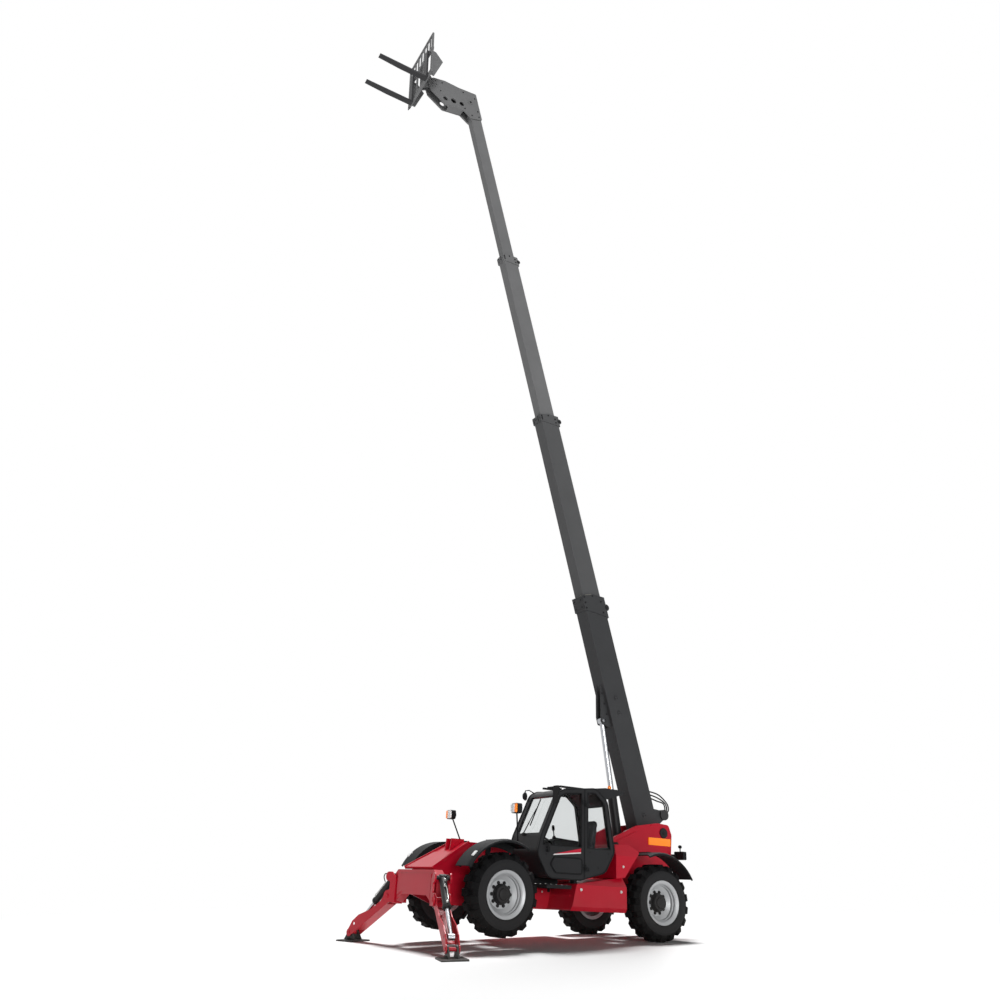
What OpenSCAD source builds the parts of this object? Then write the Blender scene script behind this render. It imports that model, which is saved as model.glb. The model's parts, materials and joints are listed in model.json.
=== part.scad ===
// Four-wheel telescopic handler with a four-section boom, standing on its two front
// stabilisers with the boom raised and run out. All sizes are in millimetres.
// The machine is drawn level, with x forward from the rear axle, y to the left and
// z up from the ground under level tyres. on_chassis() then pitches it nose-up about
// the rear axle and moves the origin to the middle of the ground under the whole part.

/* [Stance] */
// Distance between the axles
wheelbase = 3070; // [2800:10:3300]
// Distance between left and right wheel centres
track = 1980; // [1900:10:2100]
// Nose-up angle while the front wheels hang clear
pitch = 3.26; // [2.8:0.02:3.6]

/* [Wheels] */
// Tyre diameter over the lugs
tyre_d = 1180; // [1120:10:1220]
// Tyre section width
tyre_w = 400; // [360:5:420]
// Rim seat diameter
rim_d = 610; // [580:5:640]
// Number of lugs on each side of a tyre
lug_count = 18; // [12:1:20]

/* [Frame] */
// Half the width over the two frame rails
rail_half_w = 400; // [360:5:410]
// Height of the rails' lower edge
rail_z = 400; // [380:5:430]
// Width of the machine over the side panels
body_w = 2300; // [2200:10:2400]
// Thickness of the welded frame plates
plate_t = 25; // [20:1:30]

/* [Boom] */
// Angle of the boom to the frame
boom_angle = 73.1; // [60:0.1:75]
// Depth of the base section
boom_depth = 490; // [470:5:510]
// Width of the base section
boom_w = 320; // [310:2:340]
// Loss of depth from one section to the next
boom_depth_step = 70; // [66:1:74]
// Loss of width from one section to the next
boom_w_step = 54; // [52:1:56]
// Wall of each boom section
boom_wall = 10; // [8:1:11]
// Stroke of each telescoping section
boom_stroke = 3740; // [3400:20:3760]
// Length of the base section ahead of its pivot
boom_base_len = 4590; // [4400:10:4700]

/* [Forks] */
// Length of the fork blades
fork_len = 1170; // [1000:10:1250]
// Distance between the two forks' middles
fork_gap = 780; // [600:10:900]
// Width over the load backrest
rack_w = 1240; // [1100:10:1300]
// Height of the load backrest over the lower rail
rack_h = 1240; // [1000:10:1300]
// Number of upright bars in the backrest
rack_bars = 9; // [7:1:11]

/* [Stabilisers] */
// Length of a leg between its two pins
leg_len = 1120; // [1080:10:1180]
// Forward splay of the legs in plan
leg_splay = 15.3; // [12:0.1:18]
// Half width between the leg pivots
leg_y = 860; // [840:5:880]

/* [Cab] */
// Outer face of the cab's left side
cab_left = 1120; // [1100:5:1140]
// Outer face of the cab's right side
cab_right = 260; // [240:5:280]
// Thickness of the cab's walls and door
cab_wall = 50; // [40:1:60]
// Place of the pillar that the door hangs on
pillar_x = 1575; // [1540:5:1600]

/* [Hidden] */
$fn = 48;

// colours as in the photograph
red = [0.72, 0.03, 0.10];
charcoal = [0.16, 0.17, 0.18];
black = [0.05, 0.05, 0.05];
silver = [0.75, 0.76, 0.77];
chrome = [0.85, 0.86, 0.88];
amber = [1.0, 0.55, 0.05];
glass_tint = [0.30, 0.36, 0.38, 0.4];
tyre_black = [0.07, 0.07, 0.07];

// clearances
run_gap = 0.06;
slide_gap = 0.5;
seat_gap = 0.3;
part_gap = 6;
eye_gap = 5;

// wheels and axles
axle_z = tyre_d / 2;
wheel_y = track / 2;
kingpin_y = wheel_y - 190;
kingpin_r = 32;
spindle_r = 60;
yoke_z = 150;
rim_r = rim_d / 2;
lug_h = 42;
lug_shoulder = 52;
stud_count = 10;
lug_ring = [for (i = [0:lug_count - 1])
  for (q = [[-0.33, axle_z - lug_h], [-0.24, axle_z], [0.24, axle_z], [0.33, axle_z - lug_h]])
    q[1] * [cos((i + q[0]) * 360 / lug_count), sin((i + q[0]) * 360 / lug_count)]];
rim_w = tyre_w - 60;
rail_top = 852.7;
arch_half = 140;
arch_top = axle_z + 110;

// boom places in the frame
pivot_x = -688;
pivot_z = axle_z + 1152;
boom_over = 160;
boom_mid = boom_over - boom_depth / 2;
boom_collar = 230;
boom_tail = 250;
boom_lap = 600;
boom_pitch = boom_stroke + boom_collar;
pivot_r = 60;
lift_s = 2170;
lift_drop = boom_depth - boom_over + 120;
lift_foot_x = -80;
lift_foot_z = axle_z + 460;

// head of the fourth section and the carriage that tilts on it
tip_s = boom_base_len + 3 * boom_pitch;
head_s = tip_s + 600;
head_drop = 1100;
head_plate_in = (boom_w - 3 * boom_w_step) / 2 - 1;
head_plate_out = head_plate_in + plate_t;
crank_r = 230;
crank_angle = 58;
tilt_now = -(boom_angle + pitch);
tilt_pin_s = tip_s + 300;
tilt_pin_drop = 150;
rack_x = 270;
rack_z = -330;
rack_t = 40;

// outline of the cab's side: bottom front, nose, screen foot, screen head, roof, rear, floor
cab_profile = [
  [2274, 859], [2493, 1207], [2427, 1476], [2120, 2150], [1978, 2215],
  [1342, 2278], [1111, 2091], [970, 1303], [1158, 989], [1658, 853]
];

// stabilisers
leg_x = wheelbase + 930;
leg_z = axle_z - 115;
leg_head = 295;
leg_eye_x = leg_len - 170;
leg_eye_z = 60;
leg_half = 100;
pad_h = 130;
pin_world_z = axle_z + leg_x * sin(pitch) + (leg_z - axle_z) * cos(pitch);
leg_a = sin(leg_splay) * sin(pitch);
leg_b = cos(pitch);
leg_c = (pad_h - pin_world_z) / leg_len;
leg_angle = acos(leg_c / norm([leg_a, leg_b])) - atan2(leg_b, leg_a);

// cylinder rods
tilt_rod_r = 28;
lift_rod_r = 50;
leg_rod_r = 30;

// head lamps on stalks that stand on the front fenders
lamp_x = wheelbase - 170;
lamp_y = wheel_y + 120;
lamp_z = 1835;
stalk_x = wheelbase - 330;
stalk_y = wheel_y - 60;
stalk_z = axle_z + 715;

// tail lamps are the rearmost point and the fork tips the foremost
tail_x = -1010;
tail_z = 1380;
tail_half = 70;
tail_end = (tail_x - 40) * cos(pitch) - (tail_z + tail_half - axle_z) * sin(pitch);
fork_back = rack_x + rack_t + seat_gap;
head_x = pivot_x + head_s * cos(boom_angle) + head_drop * sin(boom_angle);
head_z = pivot_z + head_s * sin(boom_angle) - head_drop * cos(boom_angle);
fork_end = head_x * cos(pitch) - (head_z - axle_z) * sin(pitch) + fork_back + fork_len;
origin_x = (tail_end + fork_end) / 2;

// helpers
corner_steps = 5;
function section_depth(i) = boom_depth - i * boom_depth_step;
function section_w(i) = boom_w - i * boom_w_step;
function turn2(p, a) = [p[0] * cos(a) - p[1] * sin(a), p[0] * sin(a) + p[1] * cos(a)];
function unit2(v) = v / norm(v);
function meet2(p, d, q, e) =
  p + d * ((q[0] - p[0]) * e[1] - (q[1] - p[1]) * e[0]) / (d[0] * e[1] - d[1] * e[0]);
function inward(a, b, t) = t * [-unit2(b - a)[1], unit2(b - a)[0]];
function inset_corner(o, c, n, t) =
  meet2(o + inward(o, c, t), c - o, c + inward(c, n, t), n - c);
function inset(pts, t) =
  [for (i = [0:len(pts) - 1])
    inset_corner(pts[(i + len(pts) - 1) % len(pts)], pts[i], pts[(i + 1) % len(pts)], t)];

// arc in place of the corner c between o and n, and an outline with all its corners rounded
function arc_at(o, c, n, r, half, way) =
  let (u = unit2(o - c), v = unit2(n - c), mid = c + unit2(u + v) * r / sin(half),
    from = c + u * r / tan(half) - mid)
  [for (k = [0:corner_steps]) mid + turn2(from, way * (180 - 2 * half) * k / corner_steps)];
function fillet(o, c, n, r) =
  arc_at(o, c, n, r, acos(unit2(o - c) * unit2(n - c)) / 2, cross(c - o, n - c) > 0 ? 1 : -1);
function smooth(pts, r) =
  [for (i = [0:len(pts) - 1])
    for (q = fillet(pts[(i + len(pts) - 1) % len(pts)], pts[i], pts[(i + 1) % len(pts)], r)) q];
function box2(a, b) = [a, [b[0], a[1]], b, [a[0], b[1]]];

module on_chassis() {
  translate([-origin_x, 0, axle_z])
    rotate([0, -pitch, 0])
      translate([0, 0, -axle_z])
        children();
}

module on_boom() {
  on_chassis()
    translate([pivot_x, 0, pivot_z])
      rotate([0, -boom_angle, 0])
        children();
}

module on_carriage() {
  on_boom()
    translate([head_s, 0, -head_drop])
      rotate([0, -tilt_now, 0])
        children();
}

module on_side(side) {
  mirror([0, side < 0 ? 1 : 0, 0])
    children();
}

module on_leg_foot(side) {
  on_chassis()
    on_side(side)
      translate([leg_x, leg_y, leg_z])
        rotate([0, 0, 90 - leg_splay])
          children();
}

module on_leg(side) {
  on_leg_foot(side)
    rotate([0, leg_angle, 0])
      children();
}

module on_wheel(x, side) {
  on_chassis()
    on_side(side)
      translate([x, wheel_y, axle_z])
        children();
}

// prism of an xz outline between two y values
module slab_y(pts, y0, y1) {
  translate([0, y1, 0])
    rotate([90, 0, 0])
      linear_extrude(y1 - y0)
        polygon(pts);
}

// prism of a yz outline between two x values
module slab_x(pts, x0, x1) {
  translate([x0, 0, 0])
    rotate([90, 0, 90])
      linear_extrude(x1 - x0)
        polygon(pts);
}

// box from its two far corners
module span(a, b) {
  translate(a)
    cube(b - a);
}

// round bar along y, between two y values
module bar_y(x, z, r, y0, y1) {
  translate([x, y1, z])
    rotate([90, 0, 0])
      cylinder(r = r, h = y1 - y0);
}

// round bar along x, between two x values
module bar_x(y, z, r, x0, x1) {
  translate([x0, y, z])
    rotate([0, 90, 0])
      cylinder(r = r, h = x1 - x0);
}

// round rod from one point to another
module rod(a, b, r) {
  d = b - a;
  translate(a)
    rotate([0, acos(d[2] / norm(d)), atan2(d[1], d[0])])
      cylinder(r = r, h = norm(d));
}

// eight-sided rod from one point to another
module bar8(a, b, r) {
  d = b - a;
  translate(a)
    rotate([0, acos(d[2] / norm(d)), atan2(d[1], d[0])])
      linear_extrude(norm(d))
        polygon([for (k = [0:7]) r * [cos(k * 45 + 22.5), sin(k * 45 + 22.5)]]);
}

// round bar along z, between two z values
module bar_z(x, y, r, z0, z1) {
  translate([x, y, z0])
    cylinder(r = r, h = z1 - z0);
}

// square tube along x, centred on the boom's middle line
module boom_tube(s0, s1, depth, w, wall) {
  difference() {
    span([s0, -w / 2, boom_mid - depth / 2], [s1, w / 2, boom_mid + depth / 2]);
    span([s0 - 1, -w / 2 + wall, boom_mid - depth / 2 + wall],
      [s1 + 1, w / 2 - wall, boom_mid + depth / 2 - wall]);
  }
}

// collar at the mouth of a section: its bore guides the next section
module boom_mouth(i, s1, length) {
  half = section_w(i) / 2 + 18;
  low = boom_mid - section_depth(i) / 2 - 22;
  high = boom_mid + section_depth(i) / 2 + 22;
  sweep = section_depth(i) * (i == 0 ? 0.45 : 0.33);
  ear_r = section_depth(i) * 0.14;
  difference() {
    union() {
      slab_y([[s1 - length, low], [s1, low], [s1, boom_mid], [s1 - sweep * 0.4, high],
          [s1 - length - sweep, high], [s1 - length - sweep * 0.7, boom_mid + section_depth(i) * 0.3]],
        -half, half);
      bar_y(s1 - length * 0.5 - sweep * 0.7, high, ear_r, -half, half);
      for (u = [0.25, 0.75])
        span([s1 - length * u - 30, -half + 25, low - 14], [s1 - length * u + 30, half - 25, low + 1]);
    }
    span([s1 - 3 * length, -half + 30, high], [s1 + 1, half - 30, high + 200]);
    span([s1 - 3 * length, -half + 18 + boom_wall, low + 22 + boom_wall],
      [s1 - length, half - 18 - boom_wall, high - 22 - boom_wall]);
    span([s1 - 3 * length, -section_w(i + 1) / 2 - slide_gap,
        boom_mid - section_depth(i + 1) / 2 - slide_gap],
      [s1 + 1, section_w(i + 1) / 2 + slide_gap,
        boom_mid + section_depth(i + 1) / 2 + slide_gap]);
  }
}

// wear pads round the tail of a section, running inside the one before it
module boom_heel(i, s0) {
  difference() {
    span([s0, -section_w(i - 1) / 2 + boom_wall + slide_gap,
        boom_mid - section_depth(i - 1) / 2 + boom_wall + slide_gap],
      [s0 + 120, section_w(i - 1) / 2 - boom_wall - slide_gap,
        boom_mid + section_depth(i - 1) / 2 - boom_wall - slide_gap]);
    span([s0 - 1, -section_w(i) / 2 + boom_wall, boom_mid - section_depth(i) / 2 + boom_wall],
      [s0 + 121, section_w(i) / 2 - boom_wall, boom_mid + section_depth(i) / 2 - boom_wall]);
  }
}

// frame

module main_frame() {
  inner = rail_half_w - plate_t;
  color(red) on_chassis() {
    for (side = [-1, 1])
      on_side(side)
        difference() {
          slab_y([[-820, 620], [-300, rail_z + 60], [300, rail_z], [wheelbase + 500, rail_z],
              [wheelbase + 830, 520], [wheelbase + 830, rail_top], [-820, rail_top]], inner, rail_half_w);
          for (x = [0, wheelbase])
            span([x - arch_half, 0, 0], [x + arch_half, 1000, arch_top]);
        }
    for (x = [500, 1500, 2500])
      span([x, -inner, rail_z + 10], [x + 60, inner, rail_top - 20]);
    span([300, -inner, rail_z + 10], [wheelbase - 400, inner, rail_z + 30]);
    for (x = [0, wheelbase])
      span([x - 130, -inner, axle_z + 205], [x + 130, inner, axle_z + 245]);
  }
}

module leg_ear(y0) {
  slab_y([[-190, -90], [0, -90], [20, 0], [-45, 110], [-45, leg_head - 90], [20, leg_head],
      [0, leg_head + 70], [-70, leg_head + 70], [-190, leg_head - 20]], y0, y0 + plate_t);
  bar_y(0, 0, 90, y0, y0 + plate_t);
  bar_y(0, leg_head, 70, y0, y0 + plate_t);
}

nose_top = 1302;
nose_slope = atan2(410, 700);

// plates that lie on the nose's slope, from the boom rest down to the front beam
module on_nose_slope() {
  translate([wheelbase + 210, 0, nose_top - 2])
    rotate([0, nose_slope, 0])
      children();
}

module nose_frame() {
  wing = rail_half_w - 2 * plate_t - seat_gap;
  rear = wheelbase - 545;
  beam = wheelbase + 831;
  color(red) {
    on_chassis() {
      for (side = [-1, 1])
        on_side(side) {
          slab_y([[rear, 838], [wheelbase + 140, 838], [wheelbase + 140, 780], [wheelbase + 850, 780],
              [wheelbase + 850, 925], [wheelbase + 210, nose_top], [rear + 90, nose_top - 10],
              [rear, 1180]], wing, wing + plate_t);
          slab_y([[wheelbase + 190, nose_top - 10], [wheelbase + 440, 1190], [wheelbase + 420, 1375],
              [wheelbase + 190, 1375]], 70, 70 + plate_t);
        }
      on_nose_slope() {
        linear_extrude(plate_t)
          polygon([[0, -wing], [815, -520], [815, 520], [0, wing]]);
        linear_extrude(plate_t + 14)
          polygon([[330, -wing + 20], [430, -wing + 5], [815, -490], [815, 490], [430, wing - 5], [330, wing - 20]]);
        for (side = [-1, 1])
          on_side(side)
            linear_extrude(plate_t + 26)
              polygon([[0, wing - 18], [815, 502], [815, 520], [0, wing]]);
      }
      slab_y([[rear + 90, nose_top - 10], [wheelbase + 222, nose_top - 2], [wheelbase + 222, nose_top + 23],
          [rear + 90, nose_top + 15]], -wing - 15, wing + 15);
      slab_x([[-450, 520], [450, 520], [720, 370], [leg_y - 90, 370], [leg_y - 90, 790], [640, 880],
          [-640, 880], [-leg_y + 90, 790], [-leg_y + 90, 370], [-720, 370]], beam, wheelbase + 980);
      slab_x([[-430, 560], [430, 560], [600, 500], [600, 820], [-600, 820], [-600, 500]],
        wheelbase + 979, wheelbase + 992);
    }
    for (side = [-1, 1])
      on_leg_foot(side) {
        for (y0 = [-leg_half - part_gap - plate_t, leg_half + part_gap])
          difference() {
            leg_ear(y0);
            bar_y(0, 0, 35, y0 - 1, y0 + plate_t + 1);
          }
        span([-190, -leg_half - part_gap, -90], [-150, leg_half + part_gap, leg_head - 20]);
      }
  }
}

module rear_tower() {
  inner = rail_half_w - plate_t - seat_gap;
  color(red) on_chassis() {
    for (side = [-1, 1])
      on_side(side) {
        difference() {
          union() {
            slab_y(smooth([[420, 720], [500, 900], [500, 1250], [445, 1603], [-55, 1823], [-560, 1905],
                [-816, 1890], [-884, 1720], [-846, 1264], [-800, 720]], 70), rail_half_w, rail_half_w + 45);
            slab_y(smooth([[-300, 1330], [380, 1330], [400, 1540], [-60, 1730], [-300, 1740]], 60),
              rail_half_w + 44, rail_half_w + 58);
            bar_y(pivot_x, pivot_z, 120, boom_w / 2 + eye_gap, rail_half_w + 1);
          }
          bar_y(pivot_x, pivot_z, pivot_r + run_gap, 0, 600);
        }
        difference() {
          slab_y([[-260, rail_top - 1], [120, rail_top - 1], [20, lift_foot_z + 80], [-180, lift_foot_z + 80]],
            92, 117);
          bar_y(lift_foot_x, lift_foot_z, 40 + run_gap, 0, 200);
        }
      }
    span([-840, -rail_half_w - 1, rail_top + seat_gap], [-790, rail_half_w + 1, 1250]);
    span([-840, -inner, 560], [-800, inner, rail_top + 1]);
    span([-300, -inner, axle_z + 245 + seat_gap], [160, inner, rail_top]);
    difference() {
      span([-990, -90, 560], [-822, 90, 700]);
      span([-991, -91, 605], [-850, 91, 655]);
      bar_z(-942, 0, 20, 500, 800);
    }
  }
}

// engine bay on the right side

hood_front = wheelbase - 740;
hood_back = 800;
hood_in = -rail_half_w - 25;
hood_out = -body_w / 2;
hood_top = 1420;
hood_low = 700;
hood_t = 25;
louvre_count = 8;

hinge_y = hood_in + 15;
hinge_z = hood_top + 10;

module hood_outline(d) {
  slab_x([[hood_in - d, hood_top - d], [hood_out + 150, hood_top - 60 - d], [hood_out + d, hood_top - 230],
      [hood_out + d, hood_low - 100], [hood_in - d, hood_low - 100]], hood_back + d, hood_front - d);
}

module hood() {
  color(red) on_chassis()
    difference() {
      union() {
        difference() {
          hood_outline(0);
          hood_outline(hood_t);
          span([hood_back - 1, hood_out - 1, 0], [hood_front + 1, hood_in + 1, hood_low]);
          span([hood_back + hood_t, hood_in - hood_t - 1, 0],
            [hood_front - hood_t, hood_in + 1, hood_top - hood_t]);
        }
        for (x = [hood_back + 150, hood_front - 200]) {
          bar_x(hinge_y, hinge_z, 15, x + 31, x + 80);
          span([x + 31, hood_in - 30, hood_top - 1], [x + 80, hinge_y, hood_top + 10]);
        }
      }
      bar_x(hinge_y, hinge_z, 8 + run_gap, 0, 4000);
      for (i = [0:louvre_count - 1])
        for (x = [hood_back + 180, hood_back + 830])
          span([x, hood_out - 1, hood_low + 90 + i * 44], [x + 520, hood_out + hood_t + 1, hood_low + 112 + i * 44]);
      for (i = [0:louvre_count - 1])
        span([hood_front - hood_t - 1, hood_out + 160, hood_low + 90 + i * 60],
          [hood_front + 1, hood_in - 160, hood_low + 124 + i * 60]);
    }
}

module engine_tray() {
  bulk = -rail_half_w - seat_gap;
  color(red) on_chassis() {
    span([hood_back, hood_out, 430], [hood_front, bulk, 460]);
    span([hood_back, hood_out, 459], [hood_front, hood_out + 25, hood_low - part_gap]);
    for (x = [hood_back, hood_front - 25])
      span([x, hood_out + 24, 459], [x + 25, bulk, hood_low - part_gap]);
    span([hood_back, bulk - 20, 459], [hood_front, bulk, hood_top - 20]);
    for (x = [hood_back + 150, hood_front - 200]) {
      span([x, bulk - 20, hood_top - 21], [x + 30, bulk, hinge_z + 14]);
      bar_x(hinge_y, hinge_z, 8, x, x + 85);
    }
  }
}

module engine_block() {
  color(charcoal) on_chassis() {
    span([hood_back + 200, hood_out + 90, 560], [hood_front - 150, hood_in - 35, 1150]);
    for (x = [hood_back + 300, hood_front - 330])
      span([x, hood_out + 150, 460], [x + 80, hood_in - 75, 560]);
  }
}

// left side

module side_box() {
  inner = rail_half_w + seat_gap;
  out = body_w / 2;
  color(red) on_chassis() {
    intersection() {
      slab_y(smooth([[745, 409], [1847, 409], [1747, 798], [745, 935]], 18), inner, out);
      slab_x([[inner, 400], [out - 45, 400], [out, 470], [out, 790], [out - 130, 950], [inner, 950]], 700, 1900);
    }
    slab_y([[1700, 425], [2290, 425], [2290, 700], [1740, 700]], inner, inner + 60);
    span([1770, inner + 59, 440], [1800, out - 120, 640]);
  }
}

module side_panel() {
  color(red) on_chassis()
    intersection() {
      slab_y(smooth([[745, 935 + seat_gap], [925, 913 + seat_gap], [925, 1300], [880, 1440], [569, 1453],
          [400, 1345], [575, 1158]], 12), rail_half_w + 50, body_w / 2 - 40);
      slab_x([[0, 800], [body_w / 2 - 40, 800], [body_w / 2 - 40, 1270], [body_w / 2 - 150, 1460],
          [0, 1460]], 300, 1100);
    }
}

// cab

cab_round = 180;
cab_outer = smooth(cab_profile, cab_round);
cab_inner = smooth(inset(cab_profile, cab_wall), cab_round - cab_wall);
cab_core = [1700, 1500];

module cab_strip(i, j) {
  y0 = cab_right + cab_wall;
  y1 = cab_left - cab_wall - part_gap;
  intersection() {
    difference() {
      slab_y(cab_outer, y0, y1);
      slab_y(cab_inner, y0 - 1, y1 + 1);
    }
    slab_y(concat([cab_core], [for (k = [i:j]) cab_core + 1.5 * (cab_profile[k % 10] - cab_core)]), y0 - 1, y1 + 1);
  }
}

visor_x = 740;
visor_y = 700;
screen_in = cab_right + cab_wall + 45;
screen_out = cab_left - cab_wall - part_gap - 45;

module cab_front() {
  color(charcoal) on_chassis()
    difference() {
      cab_strip(0, 3);
      slab_y(screen_cut(0.06, 0.93, -200, 200), screen_in, screen_out);
    }
}

// quad that covers a share of the screen's slope, deep enough to cut or thin as glass
function along(i, u) = cab_profile[i] + u * (cab_profile[i + 1] - cab_profile[i]);
function face_in(i, t) = inward(cab_profile[i], cab_profile[i + 1], t);
function slope_cut(i, u0, u1, t0, t1) =
  [along(i, u0) + face_in(i, t0), along(i, u1) + face_in(i, t0),
    along(i, u1) + face_in(i, t1), along(i, u0) + face_in(i, t1)];
function screen_cut(u0, u1, t0, t1) = slope_cut(2, u0, u1, t0, t1);

module cab_roof() {
  color(charcoal) on_chassis() {
    cab_strip(3, 6);
    slab_y(smooth([[1120, 2112], [1335, 2250], [1335, 2290], [1060, 2325], [650, 2315], [650, 2262]], 12),
      cab_right + cab_wall + 60, cab_left - cab_wall - 70);
    bar_z(visor_x, visor_y, 42, 2300, 2330);
    for (y = [cab_right + 170, cab_left - 190])
      span([1480, y - 20, 2255], [1960, y + 20, 2285]);
  }
}

module cab_rear() {
  color(charcoal) on_chassis()
    difference() {
      cab_strip(6, 8);
      slab_y(slope_cut(6, 0.1, 0.9, -200, 200), screen_in, screen_out);
    }
}

module cab_floor() {
  color(charcoal) on_chassis() {
    cab_strip(8, 10);
  }
}

// window outline of a side: the cab outline drawn in, above the waist line
module side_window(y0, y1, x0, x1) {
  intersection() {
    slab_y(smooth(inset(cab_profile, 70), cab_round - 70), y0, y1);
    span([x0, y0 - 1, 1340], [x1, y1 + 1, 2400]);
  }
}

module cab_right_wall() {
  color(charcoal) on_chassis()
    difference() {
      slab_y(cab_outer, cab_right, cab_right + cab_wall);
      side_window(cab_right - 1, cab_right + cab_wall + 1, 900, 2600);
    }
}

module cab_quarter() {
  color(charcoal) on_chassis() {
    difference() {
      intersection() {
        slab_y(cab_outer, cab_left - cab_wall - part_gap + seat_gap, cab_left);
        span([0, 0, 0], [pillar_x, 2000, 3000]);
      }
      side_window(cab_left - cab_wall - part_gap - 1, cab_left + 1, 900, pillar_x - 60);
    }
    for (z = [1000, 1980])
      difference() {
        span([pillar_x - 60, cab_left, z], [pillar_x + 5, cab_left + 30, z + 40]);
        bar_z(pillar_x + 3, cab_left + 15, 22, z + 20, z + 41);
      }
    for (z = [1000, 1980])
      bar_z(pillar_x + 3, cab_left + 15, 8, z, z + 80);
  }
}

module cab_glass() {
  color(glass_tint) on_chassis() {
    slab_y(screen_cut(0.062, 0.928, 20, 26), screen_in + seat_gap, screen_out - seat_gap);
    slab_y(slope_cut(6, 0.102, 0.898, 20, 26), screen_in + seat_gap, screen_out - seat_gap);
    side_window(cab_right + 20, cab_right + 26, 900, 2600);
    side_window(cab_left - 26, cab_left - 20, 900, pillar_x - 60);
  }
}

module door() {
  color(charcoal) on_chassis() {
    difference() {
      intersection() {
        slab_y(cab_outer, cab_left - cab_wall, cab_left);
        span([pillar_x + part_gap, 0, 0], [4000, 2000, 3000]);
      }
      side_window(cab_left - cab_wall - 1, cab_left + 1, pillar_x + 66, 2600);
    }
    slab_y(smooth([[pillar_x + 60, 940], [2140, 940], [2240, 1060], [2170, 1170], [pillar_x + 60, 1170]], 40),
      cab_left - 1, cab_left + 12);
    for (z = [1240, 1300])
      span([2290, cab_left - 1, z], [2320, cab_left + 34, z + 14]);
    span([2290, cab_left + 33, 1240], [2320, cab_left + 45, 1314]);
    for (z = [1000, 1980])
      difference() {
        union() {
          bar_z(pillar_x + 3, cab_left + 15, 15, z + 41, z + 80);
          span([pillar_x + 3, cab_left, z + 41], [pillar_x + 60, cab_left + 15, z + 80]);
        }
        bar_z(pillar_x + 3, cab_left + 15, 8 + run_gap, z, z + 90);
      }
  }
}

module door_glass() {
  color(glass_tint) on_chassis()
    side_window(cab_left - 26, cab_left - 20, pillar_x + 66, 2600);
}

module seat() {
  color(black) on_chassis() {
    slab_y([[1230, 1026], [1560, 936], [1560, 1120], [1230, 1120]], 480, 880);
    span([1200, 450, 1120 + seat_gap], [1700, 910, 1230]);
    slab_y([[1200, 1230 + seat_gap], [1310, 1230 + seat_gap], [1230, 1800], [1130, 1790]], 470, 890);
  }
}

module steering_column() {
  color(black) on_chassis() {
    slab_y([[2060, 911], [2160, 911], [2180, 1380], [2100, 1360]], 620, 740);
    translate([2110, 680, 1420])
      rotate([0, -25, 0]) {
        rotate_extrude()
          translate([180, 0])
            circle(r = 16);
        cylinder(r = 45, h = 30, center = true);
        for (a = [90, 210, 330])
          rotate([0, 0, a])
            translate([95, 0, 0])
              cube([180, 30, 14], center = true);
        translate([0, 0, -60])
          cylinder(r = 25, h = 60);
      }
  }
}

// axles, knuckles and wheels

module axle(x) {
  on_chassis()
    translate([x, 0, axle_z]) {
      difference() {
        union() {
          rotate([90, 0, 0])
            rotate_extrude()
              polygon([[0, -230], [90, -230], [200, -90], [200, 90], [90, 230], [0, 230]]);
          bar_y(0, 0, 92, -kingpin_y + 110, kingpin_y - 110);
          for (side = [-1, 1])
            on_side(side)
              slab_x([[kingpin_y - 165, -110], [kingpin_y - 120, -yoke_z - 50], [kingpin_y + 55, -yoke_z - 50],
                  [kingpin_y + 55, -yoke_z], [kingpin_y - 95, -yoke_z], [kingpin_y - 95, yoke_z],
                  [kingpin_y + 55, yoke_z], [kingpin_y + 55, yoke_z + 50], [kingpin_y - 120, yoke_z + 50],
                  [kingpin_y - 165, 110]], -70, 70);
          span([-110, -rail_half_w + plate_t + 40, 60], [110, rail_half_w - plate_t - 40, 205 - seat_gap]);
          bar_y(-118, -40, 36, -310, 310);
          bar_y(-118, -40, 16, -kingpin_y + 190, kingpin_y - 190);
        }
        for (side = [-1, 1])
          bar_z(0, side * kingpin_y, kingpin_r + run_gap, -400, 400);
      }
    }
}

module front_axle() {
  color(black) axle(wheelbase);
}

module rear_axle() {
  color(black) axle(0);
}

module knuckle(x, side) {
  color(black) on_wheel(x, side)
    translate([0, kingpin_y - wheel_y, 0]) {
      bar_z(0, 0, kingpin_r, -yoke_z - 50, yoke_z + 50);
      bar_z(0, 0, 70, -yoke_z + part_gap, yoke_z - part_gap);
      bar_y(0, 0, 115, 30, 90);
      bar_y(0, 0, spindle_r, 80, 270);
      span([-190, -30, -60], [-50, 30, -20]);
    }
}

module tyre(x, side) {
  half = tyre_w / 2 - 6;
  color(tyre_black) on_wheel(x, side)
    rotate([90, 0, 0])
      difference() {
        union() {
          tread_half(half);
          mirror([0, 0, 1])
            rotate([0, 0, 180 / lug_count])
              tread_half(half);
        }
        cylinder(r = rim_r, h = tyre_w + 2, center = true);
        for (up = [0, 1])
          mirror([0, 0, up])
            translate([0, 0, rim_w / 2 - 10])
              cylinder(r1 = rim_r - 43, r2 = rim_r + 173, h = tyre_w / 2 - rim_w / 2 + 20);
      }
}

// half of a tyre from its middle plane: lugs over the tread that taper down the shoulder
module tread_half(half) {
  linear_extrude(half - lug_shoulder)
    polygon(lug_ring);
  translate([0, 0, half - lug_shoulder])
    linear_extrude(lug_shoulder, scale = (axle_z - lug_h - 25) / axle_z)
      polygon(lug_ring);
}

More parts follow.
